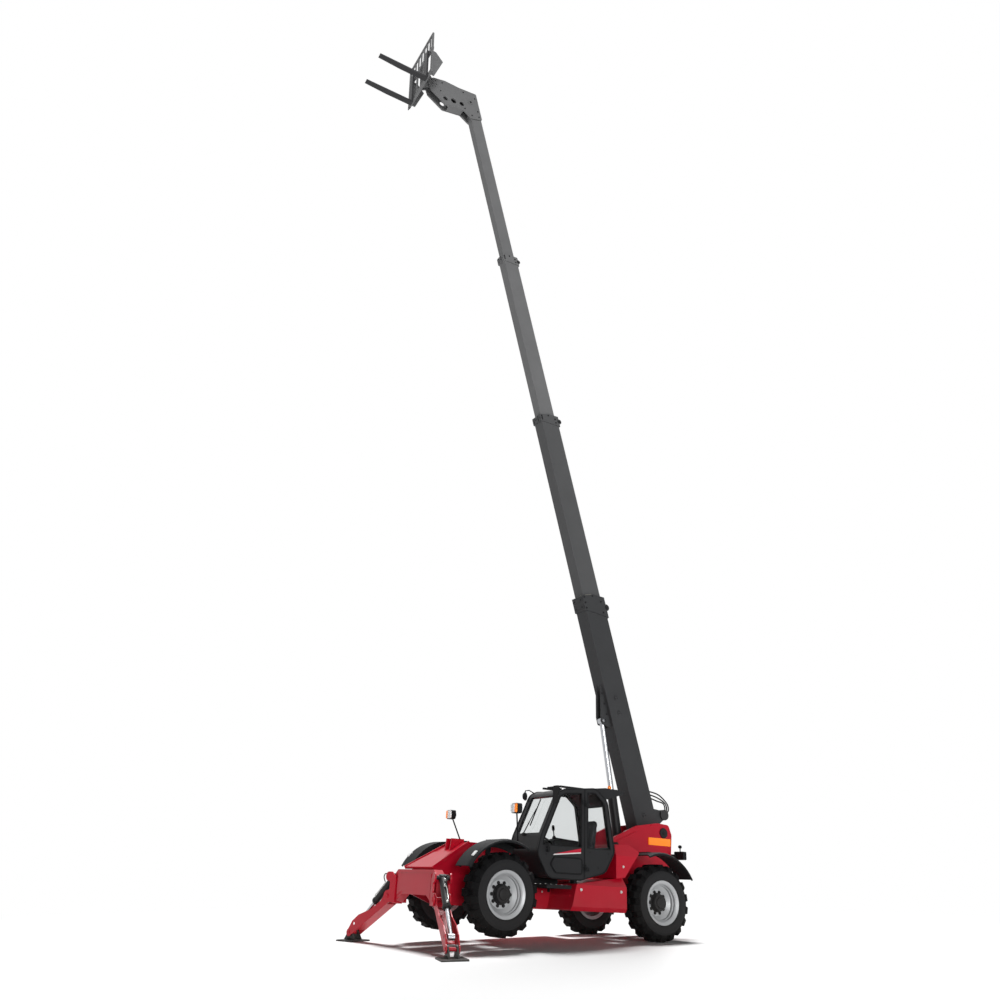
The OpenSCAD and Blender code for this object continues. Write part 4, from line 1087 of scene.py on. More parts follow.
@dataclass
class BoomFittings:
    """Bolts, ear caps, wear pads and hoses of the telescopic boom."""

    base_length: float = 4.59
    section_pitch: float = 3.97
    depth: float = 0.49
    depth_step: float = 0.07
    width: float = 0.32
    width_step: float = 0.054
    middle: float = -0.085
    bodies: tuple[str, ...] = ("boom_base", "boom_second", "boom_third")
    collar_lengths: tuple[float, ...] = (0.29, 0.15, 0.15)
    collar_sweeps: tuple[float, ...] = (0.45, 0.33, 0.33)
    collar_wall: float = 0.018
    collar_lip: float = 0.022
    bolt_size: float = 0.013
    bolt_inset: float = 0.035
    bolt_rise: float = 0.04
    bolt_drop: float = 0.02
    upper_share: float = 0.33
    ear_share: float = 0.7
    under_bolt: tuple[float, float, float] = (0.075, 0.014, 0.012)
    ear_cap: tuple[Point, ...] = ((0.0, 0.0), (0.0, 0.042), (0.006, 0.042), (0.010, 0.036), (0.010, 0.016),
                                  (0.016, 0.014), (0.016, 0.0))
    pad_clearance: float = 0.0006
    pad_thickness: float = 0.016
    pad_span: float = 0.8
    pad_gap: float = 0.01
    pad_ends: tuple[float, float] = (0.0003, 0.012)
    pad_corner: float = 0.004
    head_plate: float = 0.024
    head_bolts: tuple[Point, ...] = ((-0.10, -0.20), (-0.10, 0.0), (0.06, 0.0), (0.45, 0.0), (0.06, -0.36),
                                     (0.55, -0.30), (0.40, -0.95), (0.66, -0.86))
    head_pin: tuple[float, float, float] = (0.6, 0.012, -1.1)
    head_pin_circle: float = 0.08
    head_pin_bolt: float = 0.010
    boss_places: tuple[float, ...] = (0.357, 2.245, 2.530)
    boss_face: float = 0.170
    boss_level: float = -0.105
    boss_circle: float = 0.026
    boss_bolt: float = 0.007
    keeper_places: tuple[float, ...] = (2.27, 2.47, 2.67)
    keeper_face: float = 0.081
    keeper_level: float = -0.36
    keeper_bolt: float = 0.012
    hose_diameter: float = 0.026
    hose_spacing: float = 0.05
    hose_fitting: tuple[Point, ...] = ((0.0, 0.0), (0.0, 0.019), (0.014, 0.019), (0.016, 0.016),
                                       (0.034, 0.016), (0.036, 0.0))

    def build(self, bench: Bench) -> None:
        """Dress the boom from its heel to its head.

        Args:
            bench: what makes and places the pieces.
        """
        place = bench.machine.boom()
        self._hoses(bench, place)
        for index, body in enumerate(self.bodies):
            self._collar(bench, place, index, body)
        self._head(bench, place)
        self._heel(bench, place)

    def _collar(self, bench: Bench, place: Matrix, index: int, body: str) -> None:
        """Bolts on a collar, pale wear pads in its mouth and a cap on its ear.

        Args:
            bench: what makes and places the pieces.
            place: matrix from the boom's frame to the part's frame.
            index: number of the section, counted from the base.
            body: the body that the pieces ride on.
        """
        mouth = self.base_length + index * self.section_pitch
        length = self.collar_lengths[index]
        depth = self.depth - index * self.depth_step
        sweep = depth * self.collar_sweeps[index]
        half = (self.width - index * self.width_step) / 2 + self.collar_wall
        low = self.middle - depth / 2 - self.collar_lip
        high = self.middle + depth / 2 + self.collar_lip
        upper = self.middle + depth * self.upper_share
        front = sweep * (upper - self.middle) / (high - self.middle)
        inset, foot = self.bolt_inset, low + self.bolt_rise
        rows = ((inset, foot), (inset, self.middle - self.bolt_drop), (length - inset, foot),
                (length * 0.5, foot), (front + inset, upper), (front + length - inset, upper))
        under_in, under_drop, under_size = self.under_bolt
        spots = []
        for side in SIDES:
            for back, level in rows:
                spots.append((Vector((mouth - back, side * half, level)), ACROSS * side, self.bolt_size))
            for share in (0.25, 0.75):
                point = Vector((mouth - length * share, side * (half - under_in), low - under_drop))
                spots.append((point, -UP, under_size))
        bench.fasten(f"{body}_collar_bolts", body, place, spots)
        ear = Vector((mouth - length * 0.5 - sweep * self.ear_share, 0.0, high))
        next_half = (self.width - (index + 1) * self.width_step) / 2 + self.pad_clearance
        next_depth = (depth - self.depth_step) / 2 + self.pad_clearance
        ends = [mouth + end for end in self.pad_ends]
        caps, pads = Shape(place), Shape(place)
        for side in SIDES:
            caps.turned([(half + along, radius) for along, radius in self.ear_cap], ear, ACROSS * side, 24)
            edges = sorted((side * next_half, side * (next_half + self.pad_thickness)))
            low, high = self.middle - next_depth * self.pad_span, self.middle - self.pad_gap
            pads.plate(rounded((edges[0], low), (edges[1], high), self.pad_corner), *ends, "yz")
        high = self.middle - next_depth
        low, reach = high - self.pad_thickness, next_half * self.pad_span
        pads.plate(rounded((-reach, low), (reach, high), self.pad_corner), *ends, "yz")
        bench.place(caps.finish(f"{body}_ear_caps"), body, "black_enamel")
        bench.place(pads.finish(f"{body}_wear_pads"), body, "pad_nylon")

    def _head(self, bench: Bench, place: Matrix) -> None:
        """Bolts on the gooseneck plates and round the carriage's pin.

        Args:
            bench: what makes and places the pieces.
            place: matrix from the boom's frame to the part's frame.
        """
        tip = self.base_length + 3 * self.section_pitch
        half = (self.width - 3 * self.width_step) / 2 + self.head_plate
        along_pin, proud, level_pin = self.head_pin
        spots = []
        for side in SIDES:
            for along, level in self.head_bolts:
                spots.append((Vector((tip + along, side * half, level)), ACROSS * side, self.bolt_size))
            pin = Vector((tip + along_pin, side * (half + proud), level_pin))
            spots += ring_of_spots(pin, self.head_pin_circle, 4, ACROSS * side, self.head_pin_bolt, 0.5)
        bench.fasten("head_bolts", "boom_fourth", place, spots)

    def _heel(self, bench: Bench, place: Matrix) -> None:
        """Bolts on the side bosses and on the lift pin's keepers.

        Args:
            bench: what makes and places the pieces.
            place: matrix from the boom's frame to the part's frame.
        """
        spots = []
        for side in SIDES:
            for along in self.boss_places:
                boss = Vector((along, side * self.boss_face, self.boss_level))
                spots += ring_of_spots(boss, self.boss_circle, 3, ACROSS * side, self.boss_bolt)
            for along in self.keeper_places:
                keeper = Vector((along, side * self.keeper_face, self.keeper_level))
                spots.append((keeper, ACROSS * side, self.keeper_bolt))
        bench.fasten("boom_heel_bolts", "boom_base", place, spots)

    def _hoses(self, bench: Bench, place: Matrix) -> None:
        """Three hoses from the guard at the heel into the boom's back.

        Args:
            bench: what makes and places the pieces.
            place: matrix from the boom's frame to the part's frame.
        """
        fittings = Shape(place)
        for index in range(3):
            across = self.hose_spacing * (index - 1)
            reach = 0.50 + 0.05 * index
            bench.hose(f"heel_hose_{index + 1}", "boom_base", place,
                       [(0.243, across, 0.524), (0.30, across, 0.60), (0.42, across, 0.60),
                        (reach, across, 0.46), (reach + 0.10, across, 0.28), (reach + 0.12, across, 0.185)],
                       self.hose_diameter)
            fittings.turned(self.hose_fitting, Vector((0.243, across, 0.520)), Vector((0.6, 0, 0.8)), 12)
            fittings.turned(self.hose_fitting, Vector((reach + 0.12, across, 0.161)), UP, 12)
        bench.place(fittings.finish("heel_hose_fittings"), "boom_base", "zinc_plate")


@dataclass(frozen=True)
class Cushion:
    """One sewn and filled cover, made lying flat on the plane z = 0."""

    name: str
    size: tuple[float, float, float]
    channels: tuple[float, ...]
    swell: float = 0.012
    corner: float = 0.05
    cell: float = 0.009
    crown: float = 0.018
    channel_depth: float = 0.011
    channel_width: float = 0.011
    seam_share: float = 0.36
    seam_depth: float = 0.009
    seam_width: float = 0.010
    pressure: float = 4.0
    frames: int = 14

    def build(self, place: Matrix) -> bpy.types.Object:
        """Sew the cover, blow it up and press its channels in.

        Args:
            place: matrix from the cushion's frame to the part's frame.

        Returns:
            The cushion.
        """
        length, width, height = self.size
        rings = []
        for level, inset in ((0.0, 0.012), (0.25, 0.0), (0.75, 0.0), (1.0, 0.014)):
            half = (length / 2 - inset, width / 2 - inset)
            outline = rounded((-half[0], -half[1]), half, self.corner)
            rings.append([Vector((x, y, height * level)) for x, y in outline])
        piece = Shape(Matrix.Identity(4)).ring_stack(rings).finish(self.name)
        remesh = piece.modifiers.new("cells", "REMESH")
        remesh.mode = "VOXEL"
        remesh.voxel_size = self.cell
        self._settle(piece)
        self._inflate(piece)
        for vert in piece.data.vertices:
            if vert.co.z > height * 0.5:
                vert.co.z += self._relief(vert.co.x, vert.co.y)
            vert.co.z = max(vert.co.z, 0.0)
        piece.data.transform(place)
        soft = piece.modifiers.new("round", "SUBSURF")
        soft.levels = soft.render_levels = 1
        self._settle(piece)
        piece.data.shade_smooth()
        return piece

    def _relief(self, x: float, y: float) -> float:
        """Height of the crown, less the sewn channels and the side seams, at a point of the top.

        Args:
            x: place along the cushion.
            y: place across it.

        Returns:
            The height to add.
        """
        length, width, _ = self.size
        across = min(1.0, abs(y) / (width / 2))
        height = self.crown * max(0.0, (1.0 - across ** 2) * (1.0 - (x / (length / 2)) ** 2))
        for share in self.channels:
            height -= self.channel_depth * math.exp(-((x - (share - 0.5) * length) / self.channel_width) ** 2)
        seam = (abs(y) - width * self.seam_share) / self.seam_width
        return height - self.seam_depth * math.exp(-seam ** 2)

    @staticmethod
    def _settle(piece: bpy.types.Object) -> None:
        """Turn the evaluated shape into the piece's own plain mesh.

        Args:
            piece: the object.
        """
        graph = bpy.context.evaluated_depsgraph_get()
        data = bpy.data.meshes.new_from_object(piece.evaluated_get(graph), depsgraph=graph)
        piece.modifiers.clear()
        piece.data = data

    def _inflate(self, piece: bpy.types.Object) -> None:
        """Run a short cloth simulation under pressure and keep its shape, moved by the swell at most.

        Args:
            piece: the cushion.
        """
        start = [vert.co.copy() for vert in piece.data.vertices]
        cloth = piece.modifiers.new("cover", "CLOTH")
        cloth.settings.use_pressure = True
        cloth.settings.uniform_pressure_force = self.pressure
        cloth.settings.effector_weights.gravity = 0.0
        cloth.settings.quality = 4
        cloth.point_cache.frame_start = 1
        cloth.point_cache.frame_end = self.frames
        scene = bpy.context.scene
        for number in range(1, self.frames + 1):
            scene.frame_set(number)
        self._settle(piece)
        scene.frame_set(1)
        for vert, before in zip(piece.data.vertices, start):
            move = vert.co - before
            if move.length > self.swell:
                vert.co = before + move.normalized() * self.swell


@dataclass
class Cab:
    """Seat, controls, rubber lips, mirrors and the door's stripe."""

    left: float = 1.12
    pillar: float = 1.575
    cushion: Cushion = Cushion("seat_cushion", (0.48, 0.44, 0.105), (0.22, 0.46, 0.70))
    cushion_place: tuple[float, float, float] = (1.45, 0.68, 1.12)
    back: Cushion = Cushion("seat_back", (0.55, 0.41, 0.085), (0.3, 0.55, 0.8))
    back_foot: tuple[float, float, float] = (1.285, 0.68, 1.245)
    back_turn: float = -98.0
    back_rise: float = 0.29
    seat_fill: float = 0.75
    bellows_low: Point = (1.25, 0.50)
    bellows_high: Point = (1.54, 0.86)
    bellows_levels: Point = (0.958, 1.118)
    bellows_folds: int = 8
    bellows_inset: float = 0.014
    bellows_corner: float = 0.03
    floor_step: Point = (1.4, 0.028)
    console: tuple[Point, ...] = ((1.12, 1.02), (1.86, 0.93), (1.95, 1.05), (1.93, 1.40), (1.62, 1.50),
                                  (1.12, 1.47))
    console_sides: Point = (0.335, 0.440)
    lever: tuple[Point, ...] = (
        (0.0, 0.0), (0.0, 0.045), (0.012, 0.042), (0.022, 0.030), (0.034, 0.034), (0.046, 0.022),
        (0.056, 0.010), (0.130, 0.009), (0.136, 0.018), (0.160, 0.026), (0.205, 0.024), (0.222, 0.014),
        (0.226, 0.0))
    lever_foot: tuple[float, float, float] = (1.68, 0.388, 1.478)
    lever_lean: tuple[float, float, float] = (0.15, 0.0, 1.0)
    lip: float = 0.011
    window_lip: float = 0.013
    film: Point = (0.0004, 0.0019)
    red_wedge: tuple[Point, ...] = ((2.175, 1.214), (1.650, 1.268), (1.650, 1.324))
    white_line: tuple[Point, ...] = ((2.190, 1.196), (1.650, 1.250), (1.650, 1.267), (2.175, 1.213))
    pane_levels: Point = (1.99, 2.202)
    pane_out: Point = (0.09, 0.19)
    pane_faces: Point = (2.2225, 2.2247)
    pane_corner: float = 0.02
    bowl_centre: tuple[float, float, float] = (2.165, 0.205, 2.135)
    bowl_facing: tuple[float, float, float] = (1.0, -0.15, -0.1)
    bowl: tuple[Point, ...] = ((0.0, 0.0), (0.0, 0.064), (0.006, 0.070), (0.020, 0.068), (0.042, 0.050),
                               (0.054, 0.022), (0.056, 0.0))
    bowl_glass: tuple[Point, ...] = ((-0.003, 0.0), (-0.0006, 0.060), (-0.0002, 0.060), (-0.0002, 0.0))
    bowl_arm: tuple[tuple[float, float, float], ...] = (
        (2.195, 0.205, 2.150), (2.180, 0.212, 2.225), (2.120, 0.235, 2.236), (2.050, 0.285, 2.190))
    arm_radius: float = 0.009
    hinge_levels: Point = (1.00, 1.98)
    hinge_bolt: float = 0.008
    door_hinge: tuple[float, float, float] = (0.045, 0.015, 0.060)
    pillar_hinge: tuple[float, float, float] = (-0.030, 0.030, 0.020)
    door_bolt: float = 0.009
    quarter_bolt: float = 0.010
    door_bolts: tuple[Point, ...] = ((2.32, 1.20), (2.25, 1.335), (2.10, 1.335), (1.92, 1.335))
    quarter_bolts: tuple[Point, ...] = ((1.08, 1.28), (1.30, 1.05), (1.46, 1.28))
    bolt_gap: float = 0.0001

    def build(self, bench: Bench) -> None:
        """Dress the cab inside and out.

        Args:
            bench: what makes and places the pieces.
        """
        place = bench.machine.chassis()
        self._seat(bench, place)
        self._controls(bench, place)
        self._trims(bench, place)
        self._stripe(bench, place)
        self._mirrors(bench, place)
        self._bolts(bench, place)

    def _seat(self, bench: Bench, place: Matrix) -> None:
        """A cushion and a leaning back, over a bellows pedestal on the floor's step.

        Args:
            bench: what makes and places the pieces.
            place: matrix from the level machine's frame to the part's frame.
        """
        base = self.cushion.build(place @ Matrix.Translation(self.cushion_place))
        lean = Matrix.Translation(self.back_foot) @ Matrix.Rotation(math.radians(self.back_turn), 4, "Y")
        back = self.back.build(place @ lean @ Matrix.Translation((self.back_rise, 0.0, 0.0)))
        for piece in (base, back):
            bench.place(piece, "chassis", "seat_cloth")
        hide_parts("seat")
        (left, near), (right, far) = self.bellows_low, self.bellows_high
        foot, top = self.bellows_levels
        step_end, step_rise = self.floor_step
        rings = []
        for step in range(self.bellows_folds + 1):
            level = foot + (top - foot) * step / self.bellows_folds
            inset = self.bellows_inset * (step % 2)
            outline = rounded((left + inset, near + inset), (right - inset, far - inset), self.bellows_corner)
            rings.append([Vector((x, y, level + (step_rise if x < step_end and step == 0 else 0.0)))
                          for x, y in outline])
        bellows = Shape(place).ring_stack(rings)
        bench.place(bellows.finish("seat_bellows"), "chassis", "moulded_plastic")

    def _controls(self, bench: Bench, place: Matrix) -> None:
        """A side console with the boom's lever in its boot.

        Args:
            bench: what makes and places the pieces.
            place: matrix from the level machine's frame to the part's frame.
        """
        console = Shape(place).plate(self.console, *self.console_sides)
        bench.place(console.finish("side_console", bevel=0.012), "chassis", "moulded_plastic")
        lever = Shape(place).turned(self.lever, Vector(self.lever_foot), Vector(self.lever_lean), 20)
        bench.place(lever.finish("boom_lever"), "chassis", "moulded_plastic")

    def _trims(self, bench: Bench, place: Matrix) -> None:
        """Rubber lips round the panes, the door and the cab's side.

        Args:
            bench: what makes and places the pieces.
            place: matrix from the level machine's frame to the part's frame.
        """
        out = place.to_3x3() @ ACROSS
        bench.trim("door_window_lip", "cab_door", "door_glass", out, self.window_lip)
        bench.trim("door_edge_lip", "cab_door", "door", out, self.lip)
        bench.trim("quarter_window_lip", "chassis", "cab_quarter", out, self.lip)
        bench.trim("right_wall_lip", "chassis", "cab_right_wall", -out, self.lip)

    def _stripe(self, bench: Bench, place: Matrix) -> None:
        """A red wedge over a white line, as a thin film on the door.

        Args:
            bench: what makes and places the pieces.
            place: matrix from the level machine's frame to the part's frame.
        """
        for name, outline in (("red", self.red_wedge), ("white", self.white_line)):
            film = Shape(place).plate(outline, *(self.left + face for face in self.film))
            bench.place(film.finish(f"door_stripe_{name}", smooth=False), "cab_door", f"stripe_{name}")

    def _mirrors(self, bench: Bench, place: Matrix) -> None:
        """Glass in the left mirror, and a round mirror at the screen's right head.

        Args:
            bench: what makes and places the pieces.
            place: matrix from the level machine's frame to the part's frame.
        """
        (low, high), (near, far) = self.pane_levels, self.pane_out
        outline = rounded((self.left + near, low), (self.left + far, high), self.pane_corner)
        pane = Shape(place).plate(outline, *self.pane_faces, "yz")
        bench.place(pane.finish("mirror_pane"), "chassis", "mirror_glass")
        centre, facing = Vector(self.bowl_centre), Vector(self.bowl_facing)
        bowl = Shape(place).turned(self.bowl, centre, facing)
        bowl.pipe([Vector(point) for point in self.bowl_arm], self.arm_radius)
        bench.place(bowl.finish("round_mirror"), "chassis", "moulded_plastic")
        glass = Shape(place).turned(self.bowl_glass, centre, facing)
        bench.place(glass.finish("round_mirror_pane"), "chassis", "mirror_glass")

    def _bolts(self, bench: Bench, place: Matrix) -> None:
        """Bolts on the door's hinges, its handle and the cab's foot.

        Args:
            bench: what makes and places the pieces.
            place: matrix from the level machine's frame to the part's frame.
        """
        for name, body, hinge, bolts, size in (
            ("door_bolts", "cab_door", self.door_hinge, self.door_bolts, self.door_bolt),
            ("cab_bolts", "chassis", self.pillar_hinge, self.quarter_bolts, self.quarter_bolt),
        ):
            spots = [(Vector((self.pillar, self.left, level)) + Vector(hinge), ACROSS, self.hinge_bolt)
                     for level in self.hinge_levels]
            spots += [(Vector((x, self.left + self.bolt_gap, z)), ACROSS, size) for x, z in bolts]
            bench.fasten(name, body, place, spots)


@dataclass
class Body:
    """Latches, bolts, lamps, lenses and pin caps of the frame."""

    wheelbase: float = 3.07
    axle_height: float = 0.59
    side: float = 1.15
    tower_out: float = 0.445
    nose_out: float = 0.3747
    tower_bolt: float = 0.013
    nose_bolt: float = 0.012
    tower_bolts: tuple[Point, ...] = ((-0.78, 1.78), (-0.40, 1.86), (-0.74, 1.36), (0.40, 1.40), (0.36, 1.10),
                                      (-0.74, 1.05), (0.30, 0.95))
    nose_bolts: tuple[Point, ...] = ((2.70, 1.24), (2.85, 1.24), (3.45, 0.86), (3.60, 0.86), (3.75, 0.86),
                                     (3.45, 0.98), (2.70, 0.90))
    locks: tuple[tuple[float, float, float, float], ...] = (
        (1.663, 1.15, 0.717, 0.017), (0.86, 1.15, 0.717, 0.017), (0.778, 1.11, 1.10, 0.015),
        (2.27, 0.4603, 0.66, 0.012), (1.95, 0.4603, 0.66, 0.012))
    stop: tuple[Point, ...] = ((1.650, 0.800), (1.716, 0.792), (1.716, 0.838), (1.690, 0.851), (1.650, 0.851))
    stop_sides: Point = (0.93, 1.02)
    filler: tuple[Point, ...] = ((0.0, 0.0), (0.0, 0.062), (0.018, 0.062), (0.024, 0.050), (0.034, 0.050),
                                 (0.040, 0.044), (0.040, 0.0))
    filler_foot: tuple[float, float, float] = (0.70, 0.80, 1.4492)
    filler_lean: tuple[float, float, float] = (-0.03, 0.0, 1.0)
    handle: tuple[tuple[float, float, float], ...] = (
        (1.46, 0.004, 1.10), (1.46, -0.022, 1.105), (1.49, -0.030, 1.108), (1.63, -0.030, 1.108),
        (1.66, -0.022, 1.105), (1.66, 0.004, 1.10))
    handle_radius: float = 0.009
    tail_across: Point = (0.415, 0.625)
    tail_levels: Point = (1.325, 1.435)
    tail_faces: Point = (-1.0545, -1.0503)
    tail_corner: float = 0.014
    lamp_across: Point = (1.10, 1.17)
    lamp_angle: float = 44.0
    lamp_half: float = 0.05
    lamp_corner: float = 0.015
    lamp_rings: tuple[Point, ...] = ((0.774, 0.0), (0.790, 0.0), (0.794, 0.006))
    rib_across: Point = (1.030, 1.130)
    rib_foot: float = 1.785
    rib_pitch: float = 0.0165
    rib_count: int = 7
    rib: tuple[Point, ...] = ((2.9603, 0.0), (2.9640, 0.003), (2.9640, 0.006), (2.9603, 0.009))
    arch_radius: float = 0.7645
    arch_inner: Point = (0.69, 0.65)
    arch_across: Point = (0.785, 0.795)
    arch_start: int = 30
    arch_step: int = 4
    arch_steps: int = 22
    pivot_cap: tuple[Point, ...] = ((0.4455, 0.0), (0.4455, 0.088), (0.452, 0.090), (0.462, 0.086),
                                    (0.466, 0.060), (0.466, 0.030), (0.474, 0.026), (0.474, 0.0))
    # Painted shade: a folded black sheet behind the steps, under the cab's floor, darkens the recess there.
    shade_sheet: tuple[Point, ...] = ((0.600, 0.852), (0.600, 0.775), (0.606, 0.7712), (0.660, 0.7712),
                               (0.660, 0.7742), (0.608, 0.7742), (0.604, 0.777), (0.604, 0.852))
    shade_sheet_ends: Point = (1.74, 2.38)
    grip_start: tuple[float, float, float] = (1.82, 0.56, 0.770)
    grip_pitch: Point = (0.105, 0.14)
    grip_count: tuple[int, int] = (5, 4)
    grip_size: float = 0.006

    def build(self, bench: Bench) -> None:
        """Dress the frame from the nose to the tail.

        Args:
            bench: what makes and places the pieces.
        """
        place = bench.machine.chassis()
        self._bolts(bench, place)
        self._latches(bench, place)
        self._lenses(bench, place)
        self._arches(bench, place)
        self._pins(bench, place)
        self._steps(bench, place)

    def _bolts(self, bench: Bench, place: Matrix) -> None:
        """Bolts on the plates, locks on the boxes.

        Args:
            bench: what makes and places the pieces.
            place: matrix from the level machine's frame to the part's frame.
        """
        spots = []
        for sign in SIDES:
            for face, bolts, size in ((self.tower_out, self.tower_bolts, self.tower_bolt),
                                      (self.nose_out, self.nose_bolts, self.nose_bolt)):
                spots += [(Vector((x, sign * face, z)), ACROSS * sign, size) for x, z in bolts]
        bench.fasten("frame_bolts", "chassis", place, spots, "red_enamel")
        locks = [(Vector((x, y, z)), ACROSS, size) for x, y, z, size in self.locks]
        bench.fasten("box_locks", "chassis", place, locks, "zinc_plate", 16)

    def _latches(self, bench: Bench, place: Matrix) -> None:
        """A rubber stop on the side box, a filler cap and a handle on the hood.

        Args:
            bench: what makes and places the pieces.
            place: matrix from the level machine's frame to the part's frame.
        """
        stop = Shape(place).plate(self.stop, *self.stop_sides)
        bench.place(stop.finish("box_stop", bevel=0.008), "chassis", "moulded_plastic")
        cap = Shape(place).turned(self.filler, Vector(self.filler_foot), Vector(self.filler_lean), 12)
        bench.place(cap.finish("filler_cap", bevel=0.002), "chassis", "moulded_plastic")
        path = eased([Vector((x, y - self.side, z)) for x, y, z in self.handle], 5)
        handle = Shape(place).pipe(path, self.handle_radius)
        bench.place(handle.finish("hood_handle"), "hood", "black_enamel")

    def _on_arch(self, radius: float, angle: float, y: float) -> Vector:
        """Point at a radius and an angle round the front axle."""
        along, rise = radius * math.cos(angle), radius * math.sin(angle)
        return Vector((self.wheelbase + along, y, self.axle_height + rise))

    def _lenses(self, bench: Bench, place: Matrix) -> None:
        """Red lenses on the tail lamps, white side lamps on the fenders, ribs on the head lamps.

        Args:
            bench: what makes and places the pieces.
            place: matrix from the level machine's frame to the part's frame.
        """
        tail, white, ribs = Shape(place), Shape(place), Shape(place)
        low, high = self.tail_levels
        half = self.lamp_half
        for sign in SIDES:
            near, far = sorted(sign * edge for edge in self.tail_across)
            tail.plate(rounded((near, low), (far, high), self.tail_corner), *self.tail_faces, "yz")
            near, far = sorted(sign * edge for edge in self.lamp_across)
            rings = []
            for radius, shrink in self.lamp_rings:
                outline = rounded((near + shrink, shrink - half), (far - shrink, half - shrink),
                                  self.lamp_corner)
                rings.append([self._on_arch(radius, math.radians(self.lamp_angle) + turn / radius, y)
                              for y, turn in outline])
            white.ring_stack(rings)
            for step in range(self.rib_count):
                level = self.rib_foot + self.rib_pitch * step
                ribs.plate([(x, level + rise) for x, rise in self.rib],
                           *sorted(sign * edge for edge in self.rib_across))
        bench.place(tail.finish("tail_lenses"), "chassis", "red_lens")
        bench.place(white.finish("fender_lamps"), "chassis", "side_lamp")
        bench.place(ribs.finish("head_lamp_ribs", smooth=False), "chassis", "side_lamp")

    def _arches(self, bench: Bench, place: Matrix) -> None:
        """Dark inner walls under the front fenders, clear of the steered tyres.

        Args:
            bench: what makes and places the pieces.
            place: matrix from the level machine's frame to the part's frame.
        """
        first, last = self.arch_inner
        outer, inner = [], []
        for step in range(self.arch_steps + 1):
            angle = math.radians(self.arch_start + self.arch_step * step)
            outer.append(self._on_arch(self.arch_radius, angle, 0.0))
            inner.append(self._on_arch(first + (last - first) * step / self.arch_steps, angle, 0.0))
        outline = [(point.x, point.z) for point in outer + inner[::-1]]
        walls = Shape(place)
        for sign in SIDES:
            walls.plate(outline, *sorted(sign * face for face in self.arch_across))
        bench.place(walls.finish("arch_walls"), "chassis", "moulded_plastic")

    def _pins(self, bench: Bench, place: Matrix) -> None:
        """Black caps on the boom's pivot pin, on the tower's plates.

        Args:
            bench: what makes and places the pieces.
            place: matrix from the level machine's frame to the part's frame.
        """
        centre = place.inverted() @ bench.machine.boom_pivot
        caps = Shape(place)
        for sign in SIDES:
            caps.turned(self.pivot_cap, Vector((centre.x, 0.0, centre.z)), ACROSS * sign)
        bench.place(caps.finish("pivot_caps"), "chassis", "black_enamel")

    def _steps(self, bench: Bench, place: Matrix) -> None:
        """A folded black sheet between the steps and the cab's floor, as painted shade in the recess behind the
        steps, and raised buttons on the treads.

        Args:
            bench: what makes and places the pieces.
            place: matrix from the level machine's frame to the part's frame.
        """
        # The black sheet behind the steps is painted shade.
        shade_sheet = Shape(place).plate(self.shade_sheet, *self.shade_sheet_ends, "yz")
        bench.place(shade_sheet.finish("step_recess_shade_sheet"), "chassis", "moulded_plastic")
        (along, across), (columns, rows) = self.grip_pitch, self.grip_count
        spots = [(Vector(self.grip_start) + Vector((along * column, across * row, 0.0)), UP, self.grip_size)
                 for column in range(columns) for row in range(rows)]
        bench.fasten("step_grip", "chassis", place, spots, "zinc_plate", 8)


@dataclass
class Stabilisers:
    """Hoses, pipes and fittings of the two leg cylinders."""

    barrel_radius: float = 0.055
    sides: tuple[str, ...] = ("left", "right")
    hose_diameter: float = 0.017
    hose: tuple[tuple[float, float, float], ...] = (
        (0.115, 0.018, 0.020), (0.104, 0.026, 0.070), (0.130, 0.034, 0.110), (0.190, 0.026, 0.105),
        (0.225, 0.008, 0.070), (0.232, 0.0, 0.020))
    ports: tuple[Point, ...] = ((0.115, 0.018), (0.232, 0.0), (0.545, 0.0))
    port: tuple[Point, ...] = ((-0.006, 0.0), (-0.006, 0.017), (0.012, 0.017), (0.014, 0.013), (0.032, 0.013),
                               (0.034, 0.0))
    pipe_radius: float = 0.007
    pipe: tuple[tuple[float, float, float], ...] = (
        (0.545, 0.0, 0.026), (0.520, 0.008, 0.034), (0.480, 0.020, 0.014), (0.300, 0.022, 0.010),
        (0.262, 0.012, 0.022), (0.236, 0.0, 0.024))
    gland: tuple[Point, ...] = ((0.560, 0.0003), (0.560, 0.010), (0.592, 0.010), (0.604, 0.003),
                                (0.604, -0.019), (0.6003, -0.019), (0.6003, 0.0003))

    def build(self, bench: Bench) -> None:
        """Dress both cylinders."""
        for side in self.sides:
            self._ram(bench, side)

    def _ram(self, bench: Bench, side: str) -> None:
        """One cylinder: a hose loop, a pipe with its fittings and a gland ring.

        Args:
            bench: what makes and places the pieces.
            side: left or right.
        """
        body = f"{side}_leg_barrel"
        swing = bench.joints[f"{side}_leg_barrel_swing"]
        along = Vector(bench.joints[f"{side}_leg_rod_slide"]["axis"]).normalized()
        across = Vector(swing["axis"]).normalized()
        over = along.cross(across).normalized()
        if over.z < 0:
            across, over = -across, -over
        turn = Matrix((along, across, over)).transposed().to_4x4()
        place = Matrix.Translation(Vector(swing["pos_m"])) @ turn
        top = self.barrel_radius
        route = [(x, y, top + z) for x, y, z in self.hose]
        bench.hose(f"{side}_leg_hose", body, place, route, self.hose_diameter)
        metal = Shape(place)
        for x, y in self.ports:
            metal.turned(self.port, Vector((x, y, top)), UP, 6)
        metal.pipe(eased([Vector((x, y, top + z)) for x, y, z in self.pipe], 5), self.pipe_radius)
        bench.place(metal.finish(f"{side}_leg_fittings"), body, "zinc_plate")
        profile = [(x, top + radius) for x, radius in self.gland]
        ring = Shape(place).turned(profile, Vector(), Vector((1, 0, 0)), 36)
        bench.place(ring.finish(f"{side}_leg_gland"), body, "black_enamel")


@dataclass(frozen=True)
class Sun:
    """One soft light, far away: its strength, its width and its turn in degrees."""

    name: str
    strength: float
    width: float
    turn: tuple[float, float, float]


